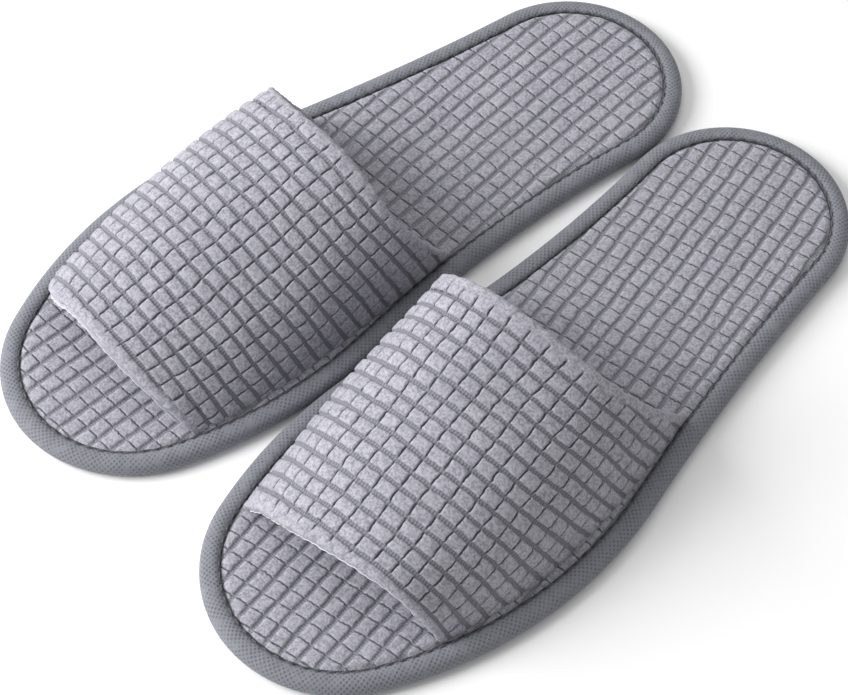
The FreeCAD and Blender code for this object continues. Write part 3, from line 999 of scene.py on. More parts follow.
@dataclass
class Sole:
    """One slipper's sole: outsole, sponge, plush insole, edge tape and seam."""

    outline: SoleOutline
    wardrobe: Wardrobe
    waffle: Waffle
    lie: InsoleLie
    thickness_mm: float = 6.0
    tape_mm: float = 0.6
    round_mm: float = 2.9
    band_mm: float = 7.3
    seam_inset_mm: float = 6.7
    stitch_pitch_mm: float = 4.6
    plush_ground_mm: float = 5.5
    plush_tuck_mm: float = 0.12
    plush_reach_mm: float = 4.2
    plush_edge_mm: float = 4.4
    plush_back_mm: float = 4.45
    middle_mm: float = 144.0
    sponge_inset_mm: float = 2.3
    sponge_points: int = 260
    sponge_floor_mm: float = 2.82
    sponge_mm: float = 1.56
    section_points: int = 30
    station_mm: float = 1.15
    inner_step_mm: float = 1.2
    stitch_pull_mm: float = 0.42
    ripple_mm: float = 0.16
    pucker_mm: float = 0.10
    # Width of the painted shadow along the seam's groove.
    groove_shadow_mm: float = 0.45

    @property
    def word(self) -> str:
        """The side's word."""
        return self.outline.side.word

    def ride(self, piece: bpy.types.Object, slot: str, *nodes: str) -> bpy.types.Object:
        """Puts a piece on its slipper's body, in place of some nodes."""
        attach(piece, self.outline.side.body)
        if nodes:
            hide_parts(*[f"{self.word}_{node}" for node in nodes])
        LOG.info("%s: %d vertices, %d faces", piece.name, len(piece.data.vertices), len(piece.data.polygons))
        return piece

    def press(self, own: np.ndarray) -> np.ndarray:
        """How freely the plush stands, from 0 under the tape to 1 well inside it."""
        depth = self.outline.inset_of(own)
        ragged = 0.25 * waves(own[:, 0], own[:, 1], 7.0, 31)
        return smoothstep(self.band_mm - 0.2, self.band_mm + 1.5, depth + ragged)

    def insole(self) -> bpy.types.Object:
        """The waffle-plush insole cover, laid flat and pressed down at its rim."""
        hand = self.outline.side.value
        own, _ = self.outline.loop(self.plush_reach_mm, ARC_POINTS)
        centre = np.array(self.outline.origin) + [0, -self.middle_mm]
        a_low, a_high, b_low, b_high = self.lie.reach(self.outline.to_pair(own) - centre)
        a = self.waffle.threads(a_low, a_high, True)
        b = self.waffle.threads(b_low, b_high, False)
        cover = cloth_blank(f"{self.word}_insole_plush", len(a), len(b))
        aa, bb = [grid.ravel() for grid in np.meshgrid(a, b)]
        world = self.lie.place(*self.waffle.strayed(aa, bb).T) + centre
        local = (np.array(self.outline.origin) - world) * [hand, 1]
        relief = self.waffle.relief(aa, bb)
        free = self.press(local)
        sunk = self.thickness_mm - self.tape_mm - self.plush_tuck_mm
        height = self.plush_ground_mm + relief["rise"] + 0.25 * waves(aa, bb, 60.0, self.waffle.salt + 9)
        z = sunk + (height - sunk) * free
        z = np.where(free <= 0, np.minimum(z, sunk), z)
        lay(cover, np.column_stack([world, z]) * MM)
        chart(cover, np.column_stack([aa, bb]) * MM)
        for key in ("channel", "cut", "tuft"):
            paint(cover, key, relief[key])
        faces = np.zeros(len(cover.data.polygons) * 4, np.int32)
        cover.data.polygons.foreach_get("vertices", faces)
        inset = self.outline.inset_of(local)[faces.reshape(-1, 4)]
        drop_faces(cover, inset.min(1) < self.plush_edge_mm)
        self.back(cover, self.plush_back_mm)
        Wardrobe.dress(cover, self.wardrobe.insole)
        smooth(cover, 75)
        self.ride(cover, "waffle_plush", "insole_cover")
        f"{self.word}_sponge_sheet"
        return cover

    @staticmethod
    def back(cover: bpy.types.Object, level_mm: float) -> None:
        """Closes a laid cloth with a flat back at a height.

        Args:
            cover: The cloth, open below.
            level_mm: Height of its back.
        """
        take(cover)
        bpy.ops.object.mode_set(mode="EDIT")
        bpy.ops.mesh.select_all(action="DESELECT")
        bpy.ops.mesh.select_mode(type="EDGE")
        bpy.ops.mesh.select_non_manifold()
        bpy.ops.mesh.extrude_edges_move()
        bpy.ops.transform.resize(value=(1, 1, 0), center_override=(0, 0, level_mm * MM))
        bpy.ops.mesh.edge_face_add()
        bpy.ops.mesh.quads_convert_to_tris()
        bpy.ops.object.mode_set(mode="OBJECT")

    def sponge(self) -> bpy.types.Object:
        """The thin sponge between the outsole and the plush."""
        points, _ = self.outline.loop(self.sponge_inset_mm, self.sponge_points)
        deselect()
        bpy.ops.mesh.primitive_circle_add(vertices=self.sponge_points, radius=0.1, fill_type="NGON")
        sheet = bpy.context.object
        sheet.name = sheet.data.name = f"{self.word}_sponge_sheet"
        pair = self.outline.to_pair(points)
        lay(sheet, np.column_stack([pair, np.full(len(pair), self.sponge_floor_mm)]) * MM)
        take(sheet)
        bpy.ops.object.mode_set(mode="EDIT")
        bpy.ops.mesh.select_all(action="SELECT")
        bpy.ops.mesh.extrude_region_move(TRANSFORM_OT_translate={"value": (0, 0, self.sponge_mm * MM)})
        bpy.ops.object.mode_set(mode="OBJECT")
        tidy_faces(sheet)
        bevel = sheet.modifiers.new("soft_edge", "BEVEL")
        bevel.width, bevel.segments, bevel.limit_method = 0.0002, 2, "ANGLE"
        apply_all(sheet)
        Wardrobe.dress(sheet, self.wardrobe.sponge)
        smooth(sheet, 40)
        return self.ride(sheet, "sponge", "insole_sponge")

    def tape_profile(self, count: int) -> np.ndarray:
        """The tape's outer section, from the top rim round the edge to the bottom rim.

        Args:
            count: Points along the section.

        Returns:
            Rows of inset, height and travel along the section, in millimetres.
        """
        t, r, band = self.thickness_mm, self.round_mm, self.band_mm
        crown = [(band, t - 0.15), (band - 0.15, t + 0.10), (self.seam_inset_mm + 0.25, t + 0.10),
                 (self.seam_inset_mm, t - 0.10), (self.seam_inset_mm - 0.4, t + 0.22), (5.4, t + 0.52),
                 (4.3, t + 0.62), (3.1, t + 0.5)]
        turns = np.linspace(math.radians(97), math.radians(262), 15)
        edge = [(r + (r + 0.05) * math.cos(a), t / 2 * (1 + math.sin(a)) + 0.35 * max(0.0, math.sin(a)))
                for a in turns]
        below = [(3.4, 0.02), (4.6, 0.0), (band, 0.0)]
        rough = np.array(crown + edge + below)
        travel = np.concatenate([[0], np.cumsum(np.hypot(*np.diff(rough, axis=0).T))])
        wanted = np.linspace(0, travel[-1], count)
        inset, height = [np.interp(wanted, travel, rough[:, i]) for i in (0, 1)]
        return np.column_stack([inset, height, wanted])

    def tape(self) -> bpy.types.Object:
        """The embossed tape, wrapped round the edge and drawn in at each stitch."""
        outer_count = self.section_points
        around = int(self.outline.length(0) / self.station_mm)
        profile = self.tape_profile(outer_count)
        stations, inward = self.outline.loop(0.0, around)
        travel = np.arange(around + 1) * self.outline.length(0) / around
        index = np.arange(around + 1) % around
        inner = [(self.band_mm, 0.55), (3.2, 0.6), (2.25, 1.2), (2.25, 4.9), (3.2, 5.42),
                 (self.band_mm, 5.45)]
        section = np.vstack([profile[:, :2], np.array(inner)])
        steps = np.arange(1, len(inner) + 1) * self.inner_step_mm
        walk = np.concatenate([profile[:, 2], profile[-1, 2] + steps])
        tape = cloth_blank(f"{self.word}_edge_tape", around + 1, len(section) + 1)
        rows = []
        for k in list(range(len(section))) + [0]:
            inset, height = section[k]
            on_top = k < outer_count and height > self.thickness_mm * 0.45
            pulled = 0.5 + 0.5 * np.cos(travel / self.stitch_pitch_mm * math.tau)
            ripple = waves(travel, travel * 0 + inset * 0.6, 11.0, 41)
            puff = np.zeros(around + 1)
            if on_top and k > 0:
                near = math.exp(-((inset - self.seam_inset_mm) / 1.3) ** 2)
                crest = math.exp(-((inset - 3.6) / 2.0) ** 2)
                lift = self.ripple_mm * ripple + self.pucker_mm * pulled
                puff = -self.stitch_pull_mm * near * (1 - pulled) + crest * lift
            at_rim = 1.0 if inset > self.band_mm - 0.4 and on_top else 0.0
            shift = 0.18 * waves(travel, travel * 0, 6.0, 43) * at_rim
            own = stations[index] + inward[index] * (inset + shift)[:, None]
            rows.append(np.column_stack([self.outline.to_pair(own), height + puff]))
        lay(tape, np.vstack(rows) * MM)
        spread = np.concatenate([walk, [walk[-1] + self.inner_step_mm]])
        flat = np.column_stack([np.tile(travel, len(section) + 1), np.repeat(spread, around + 1)])
        chart(tape, flat * MM)
        insets = np.concatenate([section[:, 0], section[:1, 0]])
        heights = np.concatenate([section[:, 1], section[:1, 1]])
        # Painted shadow along the seam's groove and at the tape's inner rim beside the plush, for the tape's
        # material.
        groove_shadow = np.where(heights > self.thickness_mm * 0.45,
                          np.exp(-((insets - self.seam_inset_mm) / self.groove_shadow_mm) ** 2), 0.0)
        rim = np.where((insets > self.band_mm - 0.1) & (heights > 4.0), 0.9, 0.0)
        paint(tape, "groove_shadow", np.repeat(np.clip(groove_shadow + rim, 0, 1), around + 1))
        tidy_faces(tape, 2e-6)
        Wardrobe.dress(tape, self.wardrobe.tape)
        smooth(tape, 50)
        self.ride(tape, "edge_tape", "edge_binding")
        f"{self.word}_outsole"
        f"{self.word}_insole_plush"
        return tape

    def rim_seam(self) -> bpy.types.Object:
        """The seam that holds the tape, the sole's layers and the vamp together."""
        count = round(self.outline.length(self.seam_inset_mm) / self.stitch_pitch_mm)
        points, inward = self.outline.loop(self.seam_inset_mm, count)
        pair = self.outline.to_pair(points)
        side = self.outline.to_pair(points + inward)[:, :2] - pair
        ahead = np.column_stack([-side[:, 1], side[:, 0], np.zeros(count)])
        places = np.column_stack([pair, np.full(count, self.thickness_mm + 0.12)]) * MM
        up = np.tile([0.0, 0.0, 1.0], (count, 1))
        row = Seam().sew(f"{self.word}_rim_stitches", places, ahead, up, self.wardrobe.thread)
        return self.ride(row, "thread", "rim_thread")

    def build(self) -> None:
        """Builds and dresses the whole sole."""
        self.sponge()
        self.insole()
        self.tape()
        self.rim_seam()
        outsole = bpy.data.objects[f"{self.word}_outsole"]
        Wardrobe.dress(outsole, self.wardrobe.outsole)


# ---------------------------------------------------------------- the vamp


@dataclass
class Vamp:
    """One slipper's vamp: a plush band over the foot, lined and hemmed.

    The poles are of the two open edges, from the inner foot to the outer one:
    across, along and height above the insole, in millimetres.
    """

    outline: SoleOutline
    wardrobe: Wardrobe
    waffle: Waffle
    lie: VampLie
    sole: Sole
    rear_poles: tuple[tuple[float, float, float], ...]
    front_poles: tuple[tuple[float, float, float], ...]
    foot_follow: tuple[float, ...] = (1.0, 1.0, 0.35, 0.35, 1.0, 1.0)
    foot_inset_mm: float = 7.6
    rows: tuple[float, ...] = (0.0, 1 / 6, 0.5, 5 / 6, 1.0)
    backing_mm: float = 1.0
    lip_mm: float = 1.25
    hem_mm: float = 7.0
    peek_mm: float = 1.2
    front_fold_mm: float = 1.6
    rear_fold_mm: float = 0.8
    spare_mm: float = 14.0
    side_spare_mm: float = 8.0
    ground_share: float = 0.62
    foot_drop_mm: float = 150.0
    foot_sink_mm: float = 1.1
    seam_back_mm: float = 1.2
    seam_sink_mm: float = 0.55
    rulings: int = 160
    searches: int = 14
    across_knots: tuple[float, ...] = (0, 0, 0, 0, 1 / 3, 2 / 3, 1, 1, 1, 1)
    along_knots: tuple[float, ...] = (0, 0, 0, 0, 0.5, 1, 1, 1, 1)

    @property
    def word(self) -> str:
        """The side's word."""
        return self.outline.side.word

    @staticmethod
    def weights(t: np.ndarray, knots: tuple[float, ...], count: int) -> np.ndarray:
        """Cubic spline weights of each pole.

        Args:
            t: Places from 0 to 1.
            knots: The whole knot row, with its repeats.
            count: How many poles.

        Returns:
            One row of weights for each place.
        """
        t = np.clip(t, 0.0, 1.0 - 1e-9)
        table = [np.where((t >= low) & (t < high), 1.0, 0.0) for low, high in zip(knots, knots[1:])]
        for degree in range(1, 4):
            raised = []
            for i in range(len(table) - 1):
                left, right = knots[i + degree] - knots[i], knots[i + degree + 1] - knots[i + 1]
                term = (t - knots[i]) / left * table[i] if left > 0 else 0.0
                term = term + ((knots[i + degree + 1] - t) / right * table[i + 1] if right > 0 else 0.0)
                raised.append(term + np.zeros_like(t))
            table = raised
        return np.column_stack(table[:count])

    def net(self) -> np.ndarray:
        """The surface's poles, row by row from the front edge to the rear."""
        poles = []
        for row in self.rows:
            line = [np.array(f) + (np.array(r) - np.array(f)) * row
                    for f, r in zip(self.front_poles, self.rear_poles)]
            inner = self.outline.foot_x(line[0][1], self.foot_inset_mm, False) - line[0][0]
            outer = self.outline.foot_x(line[-1][1], self.foot_inset_mm, True) - line[-1][0]
            shifts = [inner] * 3 + [outer] * 3
            poles.append([[p[0] + s * f, p[1], p[2] + self.sole.thickness_mm]
                          for p, s, f in zip(line, shifts, self.foot_follow)])
        return np.array(poles)

    def surface(self, u: np.ndarray, v: np.ndarray) -> np.ndarray:
        """Points of the outer face, in the slipper's own frame.

        Args:
            u: From the inner foot, 0, to the outer one, 1.
            v: From the front edge, 0, to the rear one, 1.

        Returns:
            Rows of x, y and z in millimetres.
        """
        across = self.weights(u, self.across_knots, self.poles.shape[1])
        along = self.weights(v, self.along_knots, self.poles.shape[0])
        return np.einsum("nj,jic,ni->nc", along, self.poles, across)

    def frame(self, u: np.ndarray, v: np.ndarray) -> tuple[np.ndarray, np.ndarray, np.ndarray]:
        """The face's point, outward normal and direction towards the rear edge."""
        u0, u1 = np.clip(u - NUDGE, 0, 1), np.clip(u + NUDGE, 0, 1)
        v0, v1 = np.clip(v - NUDGE, 0, 1), np.clip(v + NUDGE, 0, 1)
        across = self.surface(u1, v) - self.surface(u0, v)
        along = self.surface(u, v1) - self.surface(u, v0)
        along /= np.linalg.norm(along, axis=1)[:, None]
        normal = np.cross(along, across)
        normal /= np.linalg.norm(normal, axis=1)[:, None]
        return self.surface(u, v), normal, along

    def run(self, u: np.ndarray) -> np.ndarray:
        """How long the face is from the front edge to the rear one, in millimetres."""
        return np.linalg.norm(self.surface(u, np.ones_like(u)) - self.surface(u, np.zeros_like(u)), axis=1)

    def unroll(self) -> None:
        """Lays the face out flat, ruling by ruling, and keeps the flat places."""
        count = self.rulings
        self.table_u = np.linspace(0, 1, count + 1)
        front = self.surface(self.table_u, np.zeros(count + 1))
        rear = self.surface(self.table_u, np.ones(count + 1))
        flat_front, flat_rear = [np.array([0.0, 0.0])], [np.array([0.0, np.linalg.norm(rear[0] - front[0])])]

        def next_to(p: np.ndarray, q: np.ndarray, from_p: float, from_q: float) -> np.ndarray:
            """The flat point at two distances, on the right of the line from p to q."""
            line = q - p
            span = np.linalg.norm(line)
            x = (span**2 + from_p**2 - from_q**2) / (2 * span)
            y = math.sqrt(max(from_p**2 - x**2, 0.0))
            return p + line / span * x + np.array([line[1], -line[0]]) / span * y

        gap = np.linalg.norm
        for i in range(count):
            new_rear = next_to(flat_front[i], flat_rear[i], gap(rear[i + 1] - front[i]),
                               gap(rear[i + 1] - rear[i]))
            new_front = next_to(flat_front[i], new_rear, gap(front[i + 1] - front[i]),
                                gap(front[i + 1] - rear[i + 1]))
            flat_rear.append(new_rear)
            flat_front.append(new_front)
        self.flat_front, self.flat_rear = np.array(flat_front), np.array(flat_rear)
        middle = count // 2
        heading = self.flat_rear[middle] - self.flat_front[middle]
        turn = math.pi / 2 - math.atan2(heading[1], heading[0])
        spin = np.array([[math.cos(turn), math.sin(turn)], [-math.sin(turn), math.cos(turn)]])
        pivot = (self.flat_rear[middle] + self.flat_front[middle]) / 2
        self.flat_front, self.flat_rear = (self.flat_front - pivot) @ spin, (self.flat_rear - pivot) @ spin

    def flat_of(self, u: np.ndarray, v: np.ndarray) -> np.ndarray:
        """The flat place of a point of the face, which may be past an edge."""
        uu = np.clip(u, 0, 1)
        parts = []
        for line in (self.flat_front, self.flat_rear):
            point = np.column_stack([np.interp(uu, self.table_u, line[:, i]) for i in (0, 1)])
            first, last = (line[1] - line[0]), (line[-1] - line[-2])
            spare = np.where(u < 0, u, np.where(u > 1, u - 1, 0.0)) * (len(self.table_u) - 1)
            point += np.where((u < 0)[:, None], first, last) * spare[:, None]
            parts.append(point)
        return parts[0] + (parts[1] - parts[0]) * v[:, None]

    def find(self, flat: np.ndarray) -> tuple[np.ndarray, np.ndarray]:
        """The face's u and v under flat places, by Newton's steps."""
        low, high = self.flat_front.min(0), self.flat_rear.max(0)
        u = np.clip((flat[:, 0] - low[0]) / (high[0] - low[0]), 0, 1)
        v = np.clip((flat[:, 1] - low[1]) / (high[1] - low[1]), 0, 1)
        for _ in range(self.searches):
            here = self.flat_of(u, v)
            du = (self.flat_of(u + NUDGE, v) - self.flat_of(u - NUDGE, v)) / (2 * NUDGE)
            dv = (self.flat_of(u, v + NUDGE) - self.flat_of(u, v - NUDGE)) / (2 * NUDGE)
            miss = flat - here
            det = du[:, 0] * dv[:, 1] - du[:, 1] * dv[:, 0]
            u = u + np.clip((miss[:, 0] * dv[:, 1] - miss[:, 1] * dv[:, 0]) / det, -0.2, 0.2)
            v = v + np.clip((du[:, 0] * miss[:, 1] - du[:, 1] * miss[:, 0]) / det, -0.4, 0.4)
            u, v = np.clip(u, -0.3, 1.3), np.clip(v, -0.6, 1.6)
        return u, v

    def wrap(self, u: np.ndarray, v: np.ndarray, depth: np.ndarray, lips: bool = True) -> np.ndarray:
        """Points over the face, round its two edges and on under it.

        Args:
            u: Across the vamp.
            v: Along it, below 0 or above 1 for cloth that turns under.
            depth: How far above the face, below it if negative, in millimetres.
            lips: Whether cloth past an edge turns round it.

        Returns:
            Points in the slipper's own frame.
        """
        uc, vc = np.clip(u, 0, 1), np.clip(v, 0, 1)
        point, normal, along = self.frame(uc, vc)
        level = self.foot_level(uc, normal)
        out = point + level * depth[:, None]
        if lips:
            run = self.run(uc)
            over = np.where(v < 0, -v, np.where(v > 1, v - 1, 0.0)) * run
            away = np.where((v < 0)[:, None], -along, along)
            radius = self.lip_mm
            theta = np.clip(over / radius, 0, math.pi)
            centre = point - level * radius
            ring = level * np.cos(theta)[:, None] + away * np.sin(theta)[:, None]
            turned = centre + ring * (radius + depth)[:, None]
            back = np.clip(over - math.pi * radius, 0, None)
            v_in = np.where(v < 0, back / run, 1 - back / run)
            inner, inner_normal, _ = self.frame(uc, np.clip(v_in, 0, 1))
            inner = inner - self.foot_level(uc, inner_normal) * (2 * radius + depth)[:, None]
            turned = np.where((back > 0)[:, None], inner, turned)
            out = np.where((over > 0)[:, None], turned, out)
        beyond = np.where(u < 0, -u, np.where(u > 1, u - 1, 0.0))
        out[:, 2] -= beyond * self.foot_drop_mm
        out[:, 2] = np.maximum(out[:, 2], self.sole.thickness_mm - self.foot_sink_mm)
        return out

    def foot_level(self, u: np.ndarray, normal: np.ndarray) -> np.ndarray:
        """The normal, turned level where the cloth meets the insole."""
        share = smoothstep(0.0, 0.05, np.minimum(u, 1 - u))
        level = normal * np.array([1.0, 1.0, 0.0])
        level /= np.linalg.norm(level, axis=1)[:, None] + 1e-9
        mixed = level * (1 - share)[:, None] + normal * share[:, None]
        return mixed / np.linalg.norm(mixed, axis=1)[:, None]

    def face_out(self, cloth: bpy.types.Object) -> None:
        """Turns a cloth's faces to the outside, by its highest face."""
        take(cloth)
        top = max(cloth.data.polygons, key=lambda face: face.center.z)
        if top.normal.z < 0:
            bpy.ops.object.mode_set(mode="EDIT")
            bpy.ops.mesh.select_all(action="SELECT")
            bpy.ops.mesh.flip_normals()
            bpy.ops.object.mode_set(mode="OBJECT")

    def plush(self) -> bpy.types.Object:
        """The waffle plush, turned under at both open edges and backed with its foam."""
        flat_all = np.vstack([self.flat_front, self.flat_rear])
        reach = self.hem_mm + math.pi * self.lip_mm
        low = flat_all.min(0) - [self.side_spare_mm, reach + self.spare_mm]
        high = flat_all.max(0) + [self.side_spare_mm, reach + self.spare_mm]
        a = self.waffle.threads(low[1], high[1], True)
        b = self.waffle.threads(low[0], high[0], False)
        cover = cloth_blank(f"{self.word}_vamp_plush", len(b), len(a))
        bb, aa = [grid.ravel() for grid in np.meshgrid(b, a)]
        u, v = self.find(self.lie.place(*self.waffle.strayed(aa, bb).T))
        uc = np.clip(u, 0, 1)
        run = self.run(uc)
        limit = reach / run
        relief = self.waffle.relief(aa, bb)
        edge = np.minimum(v, 1 - v) * run
        fold = np.where(v > 0.5, self.rear_fold_mm, self.front_fold_mm)
        folded = smoothstep(0.7, -0.7, edge - fold + 0.30 * waves(aa, bb, 8.0, 51))
        crease = 0.16 * waves(bb, aa * 0.2, 7.0, 52) + 0.10 * waves(bb, aa * 0.4, 3.4, 53)
        rise = relief["rise"] - self.ground_share * self.waffle.pile_mm
        rise = rise * (1 - folded) + (0.25 + crease) * folded
        side = np.minimum(uc, 1 - uc) * np.ptp(flat_all[:, 0])
        rise = rise * smoothstep(-1.0, 2.2, side) + 0.5 * waves(aa, bb, 38.0, 54) * smoothstep(3, 14, side)
        hem = np.exp(-((edge - self.hem_mm + self.seam_back_mm) / 0.8) ** 2)
        rise -= 0.35 * hem
        points = self.wrap(u, np.clip(v, -limit, 1 + limit), rise)
        lay(cover, self.outline.to_pair(points) * MM)
        chart(cover, np.column_stack([aa, bb]) * MM)
        paint(cover, "channel", relief["channel"] * (1 - folded) + 0.12 * folded)
        paint(cover, "cut", relief["cut"] * (1 - folded))
        paint(cover, "tuft", relief["tuft"] * (1 - folded) + 0.6 * folded)
        faces = np.zeros(len(cover.data.polygons) * 4, np.int32)
        cover.data.polygons.foreach_get("vertices", faces)
        faces = faces.reshape(-1, 4)
        gone = (u[faces].max(1) < -0.001) | (u[faces].min(1) > 1.001)
        gone |= (v[faces].max(1) < -limit[faces].max(1)) | (v[faces].min(1) > 1 + limit[faces].max(1))
        drop_faces(cover, gone)
        self.face_out(cover)
        backing = cover.modifiers.new("foam_backing", "SOLIDIFY")
        backing.thickness, backing.offset = self.backing_mm * MM, -1.0
        apply_all(cover)
        Wardrobe.dress(cover, self.wardrobe.vamp)
        smooth(cover, 75)
        self.sole.ride(cover, "waffle_plush", "vamp_cover", "vamp_foam")
        f"{self.word}_insole_plush"
        return cover

    def lining(self) -> bpy.types.Object:
        """The pale lining under the vamp, which shows as a thin strip at the front edge."""
        across, along = 121, 64
        u = np.linspace(0, 1, across)
        v = np.concatenate([[-0.5, -0.25], np.linspace(0, 1, along - 2)])
        uu, vv = [grid.ravel() for grid in np.meshgrid(u, v)]
        lining = cloth_blank(f"{self.word}_lining_cloth", across, len(v))
        inside = np.clip(vv, 0.0, 0.985)
        depth = -(2 * self.lip_mm + 0.30) + 0.08 * waves(uu * 160, vv * 120, 14.0, 61)
        points = self.wrap(uu, inside, depth, False)
        _, normal, along_dir = self.frame(uu, inside)
        peek = self.lip_mm + self.peek_mm + 0.25 * waves(uu * 160, uu * 0, 9.0, 62)
        peek *= smoothstep(0.0, 0.06, uu)
        peek *= smoothstep(0.0, 0.04, 1 - uu)
        out = np.where(vv < 0, -vv / 0.5, 0.0)
        points -= along_dir * (out * peek)[:, None]
        points += normal * (out * 0.9)[:, None]
        points[:, 2] = np.maximum(points[:, 2], self.sole.thickness_mm - 0.9)
        lay(lining, self.outline.to_pair(points) * MM)
        chart(lining, np.column_stack([uu * 0.165, vv * 0.12]))
        self.face_out(lining)
        thick = lining.modifiers.new("cloth", "SOLIDIFY")
        thick.thickness, thick.offset = 0.00035, 0.0
        apply_all(lining)
        Wardrobe.dress(lining, self.wardrobe.lining)
        smooth(lining, 60)
        self.sole.ride(lining, "lining", "vamp_lining")
        f"{self.word}_vamp_plush"
        return lining

    def hem_seam(self, name: str, front: bool) -> bpy.types.Object:
        """The row of stitches along one open edge.

        Args:
            name: The seam's name after the side's word.
            front: True for the front edge.

        Returns:
            The row.
        """
        run = float(self.run(np.array([0.5]))[0])
        v = (self.hem_mm - self.seam_back_mm) / run
        v = v if front else 1 - v
        fine = np.linspace(0, 1, 800)
        line, _, _ = self.frame(fine, np.full(800, v))
        travel = np.concatenate([[0], np.cumsum(np.linalg.norm(np.diff(line, axis=0), axis=1))])
        count = round(travel[-1] / self.sole.stitch_pitch_mm)
        u = np.interp((np.arange(2, count - 1)) * travel[-1] / count, travel, fine)
        point, normal, _ = self.frame(u, np.full(len(u), v))
        ahead_point, _, _ = self.frame(u + 0.002, np.full(len(u), v))
        ahead = ahead_point - point
        ahead /= np.linalg.norm(ahead, axis=1)[:, None]
        normal -= ahead * np.sum(normal * ahead, axis=1)[:, None]
        normal /= np.linalg.norm(normal, axis=1)[:, None]
        flip = np.array([-self.outline.side.value, -1.0, 1.0])
        places = self.outline.to_pair(point - normal * self.seam_sink_mm) * MM
        row = Seam(radius_mm=0.28, length_mm=2.8).sew(f"{self.word}_{name}_stitches", places, ahead * flip,
                                                      normal * flip, self.wardrobe.thread)
        return self.sole.ride(row, "thread", f"{name}_thread")

    def build(self) -> None:
        """Builds and dresses the whole vamp."""
        self.poles = self.net()
        self.unroll()
        self.plush()
        self.lining()
        self.hem_seam("front_hem", True)
        self.hem_seam("rear_hem", False)


# ---------------------------------------------------------------- the pair and the studio


@dataclass
class Slipper:
    """One whole slipper."""

    side: Side
    wardrobe: Wardrobe
    insole_pitch_mm: tuple[float, float]
    insole_lie: InsoleLie
    vamp_pitch_mm: tuple[float, float]
    vamp_lie: VampLie
    peek_mm: float
    rear_fold_mm: float
    rear_poles: tuple[tuple[float, float, float], ...]
    front_poles: tuple[tuple[float, float, float], ...]

    def build(self) -> None:
        """Builds the sole and then the vamp on it."""
        salt = 0 if self.side is Side.RIGHT else 100
        outline = SoleOutline(self.side)
        sole = Sole(outline, self.wardrobe, Waffle(*self.insole_pitch_mm, salt=salt), self.insole_lie)
        sole.build()
        weave = Waffle(*self.vamp_pitch_mm, pile_mm=1.25, salt=salt + 50,
                       channel_threads=VAMP_CHANNEL_THREADS, cut_threads=VAMP_CUT_THREADS)
        Vamp(outline, self.wardrobe, weave, self.vamp_lie, sole, self.rear_poles, self.front_poles,
             peek_mm=self.peek_mm, rear_fold_mm=self.rear_fold_mm).build()


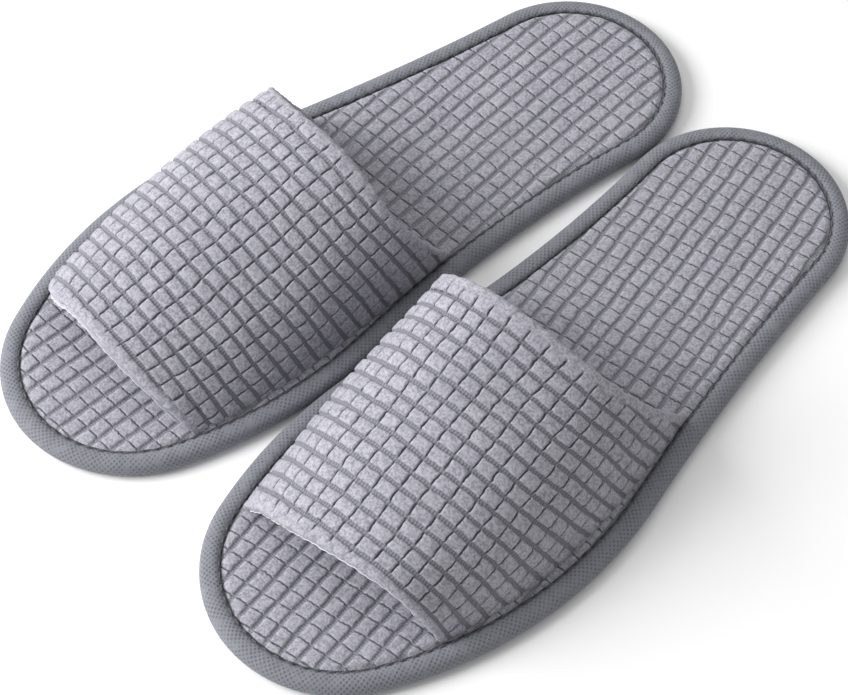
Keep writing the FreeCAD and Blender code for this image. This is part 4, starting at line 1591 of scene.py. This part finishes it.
@dataclass(frozen=True)
class Studio:
    """A pale floor, soft light from all round, and the camera."""

    stand: tuple[float, float, float] = (0.3513, -0.3340, 0.6687)
    target: tuple[float, float, float] = (0.00733, -0.0181, 0.0)
    lens: float = 99.05
    surround: float = 0.43
    lamps: tuple[tuple[str, tuple[float, float, float], float, float], ...] = (
        ("key", (-0.675, -0.855, 0.72), 0.75, 18.5),
        ("side", (-1.03, -0.36, 0.50), 0.5, 4.0),
        ("top", (-0.5, 0.3, 1.5), 1.2, 5.0),
    )

    def floor(self) -> bpy.types.Object:
        """The floor under the pair."""
        deselect()
        bpy.ops.mesh.primitive_plane_add(size=6.0, location=(0, 0, -0.0002))
        plane = bpy.context.object
        plane.name = "floor"
        Wardrobe.dress(plane, FloorFinish().make())
        return plane

    @staticmethod
    def softbox(name: str, place: tuple[float, float, float], size: float,
                power: float) -> bpy.types.Object:
        """One square soft light that points at the middle of the pair.

        Args:
            name: The light's name.
            place: Where it hangs.
            size: Side of its face, in metres.
            power: Watts.

        Returns:
            The light.
        """
        light = bpy.data.lights.new(name, "AREA")
        light.shape, light.size, light.energy = "SQUARE", size, power
        lamp = bpy.data.objects.new(name, light)
        bpy.context.scene.collection.objects.link(lamp)
        lamp.location = place
        lamp.rotation_euler = (-Vector(place)).to_track_quat("-Z", "Y").to_euler()
        return lamp

    def lights(self) -> None:
        """The soft lights and the pale surround."""
        world = bpy.data.worlds.new("surround")
        world.use_nodes = True
        colour, strength = world.node_tree.nodes["Background"].inputs[:2]
        colour.default_value = (1.0, 1.0, 1.0, 1.0)
        strength.default_value = self.surround
        bpy.context.scene.world = world
        for lamp in self.lamps:
            self.softbox(*lamp)

    def camera(self) -> bpy.types.Object:
        """The camera."""
        data = bpy.data.cameras.new("camera")
        data.lens, data.sensor_width, data.clip_start, data.clip_end = self.lens, 36.0, 0.01, 20.0
        camera = bpy.data.objects.new("camera", data)
        bpy.context.scene.collection.objects.link(camera)
        camera.location = self.stand
        camera.rotation_euler = (Vector(self.target) - Vector(self.stand)).to_track_quat("-Z", "Y").to_euler()
        bpy.context.scene.camera = camera
        return camera

    def build(self) -> None:
        """Sets up the whole studio."""
        self.floor()
        self.lights()
        self.camera()
        bpy.context.scene.view_settings.view_transform = "Standard"


RIGHT_INSOLE = InsoleLie((14.08, -0.1011, -0.00012, 0.00000196), 51.0, 0.047, 0.00026)
LEFT_INSOLE = InsoleLie((11.20, -0.2036, -0.00021), 55.9, 0.215, 0.00013)
RIGHT_VAMP = VampLie(4.96, -11.0, -1, 38.0, 0.053, 0.0029, (-0.12, 0.17))
LEFT_VAMP = VampLie(5.03, -7.3, 1, 40.0, 0.20, 0.0042, (0.0, 0.22), 0.0022)
RIGHT_REAR = ((-47, 132, 0), (-52, 154, 26), (-27, 154, 48), (19, 156, 52), (44, 147, 35), (39, 127, 0))
LEFT_REAR = ((-47, 130, 0), (-55, 156, 27), (-44, 163, 53), (10, 154, 52), (40, 146, 31), (39, 119, 0))
RIGHT_FRONT = ((-43, 246, 0), (-34, 250, 13), (-12, 255, 25), (12, 252, 29), (31, 254, 17), (40, 238, 0))
LEFT_FRONT = ((-43, 251, 0), (-37, 251, 10), (-20, 254, 22), (9, 249, 30), (33, 243, 25), (40, 237, 0))


def corners(box: tuple[Vector, Vector]) -> list[list[float]]:
    """A box's two corners as plain lists."""
    return [list(corner) for corner in box]


def main() -> None:
    """Loads the frame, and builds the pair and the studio."""
    logging.basicConfig(level=logging.INFO, format="%(name)s: %(message)s")
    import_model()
    wardrobe = Wardrobe()
    Slipper(Side.RIGHT, wardrobe, (6.3, 7.0), RIGHT_INSOLE, (5.84, 6.4), RIGHT_VAMP, peek_mm=1.5,
            rear_fold_mm=0.8, rear_poles=RIGHT_REAR, front_poles=RIGHT_FRONT).build()
    Slipper(Side.LEFT, wardrobe, (6.31, 6.73), LEFT_INSOLE, (6.17, 6.3), LEFT_VAMP, peek_mm=0.6,
            rear_fold_mm=2.3, rear_poles=LEFT_REAR, front_poles=LEFT_FRONT).build()
    Studio().build()


if __name__ == "__main__":
    main()
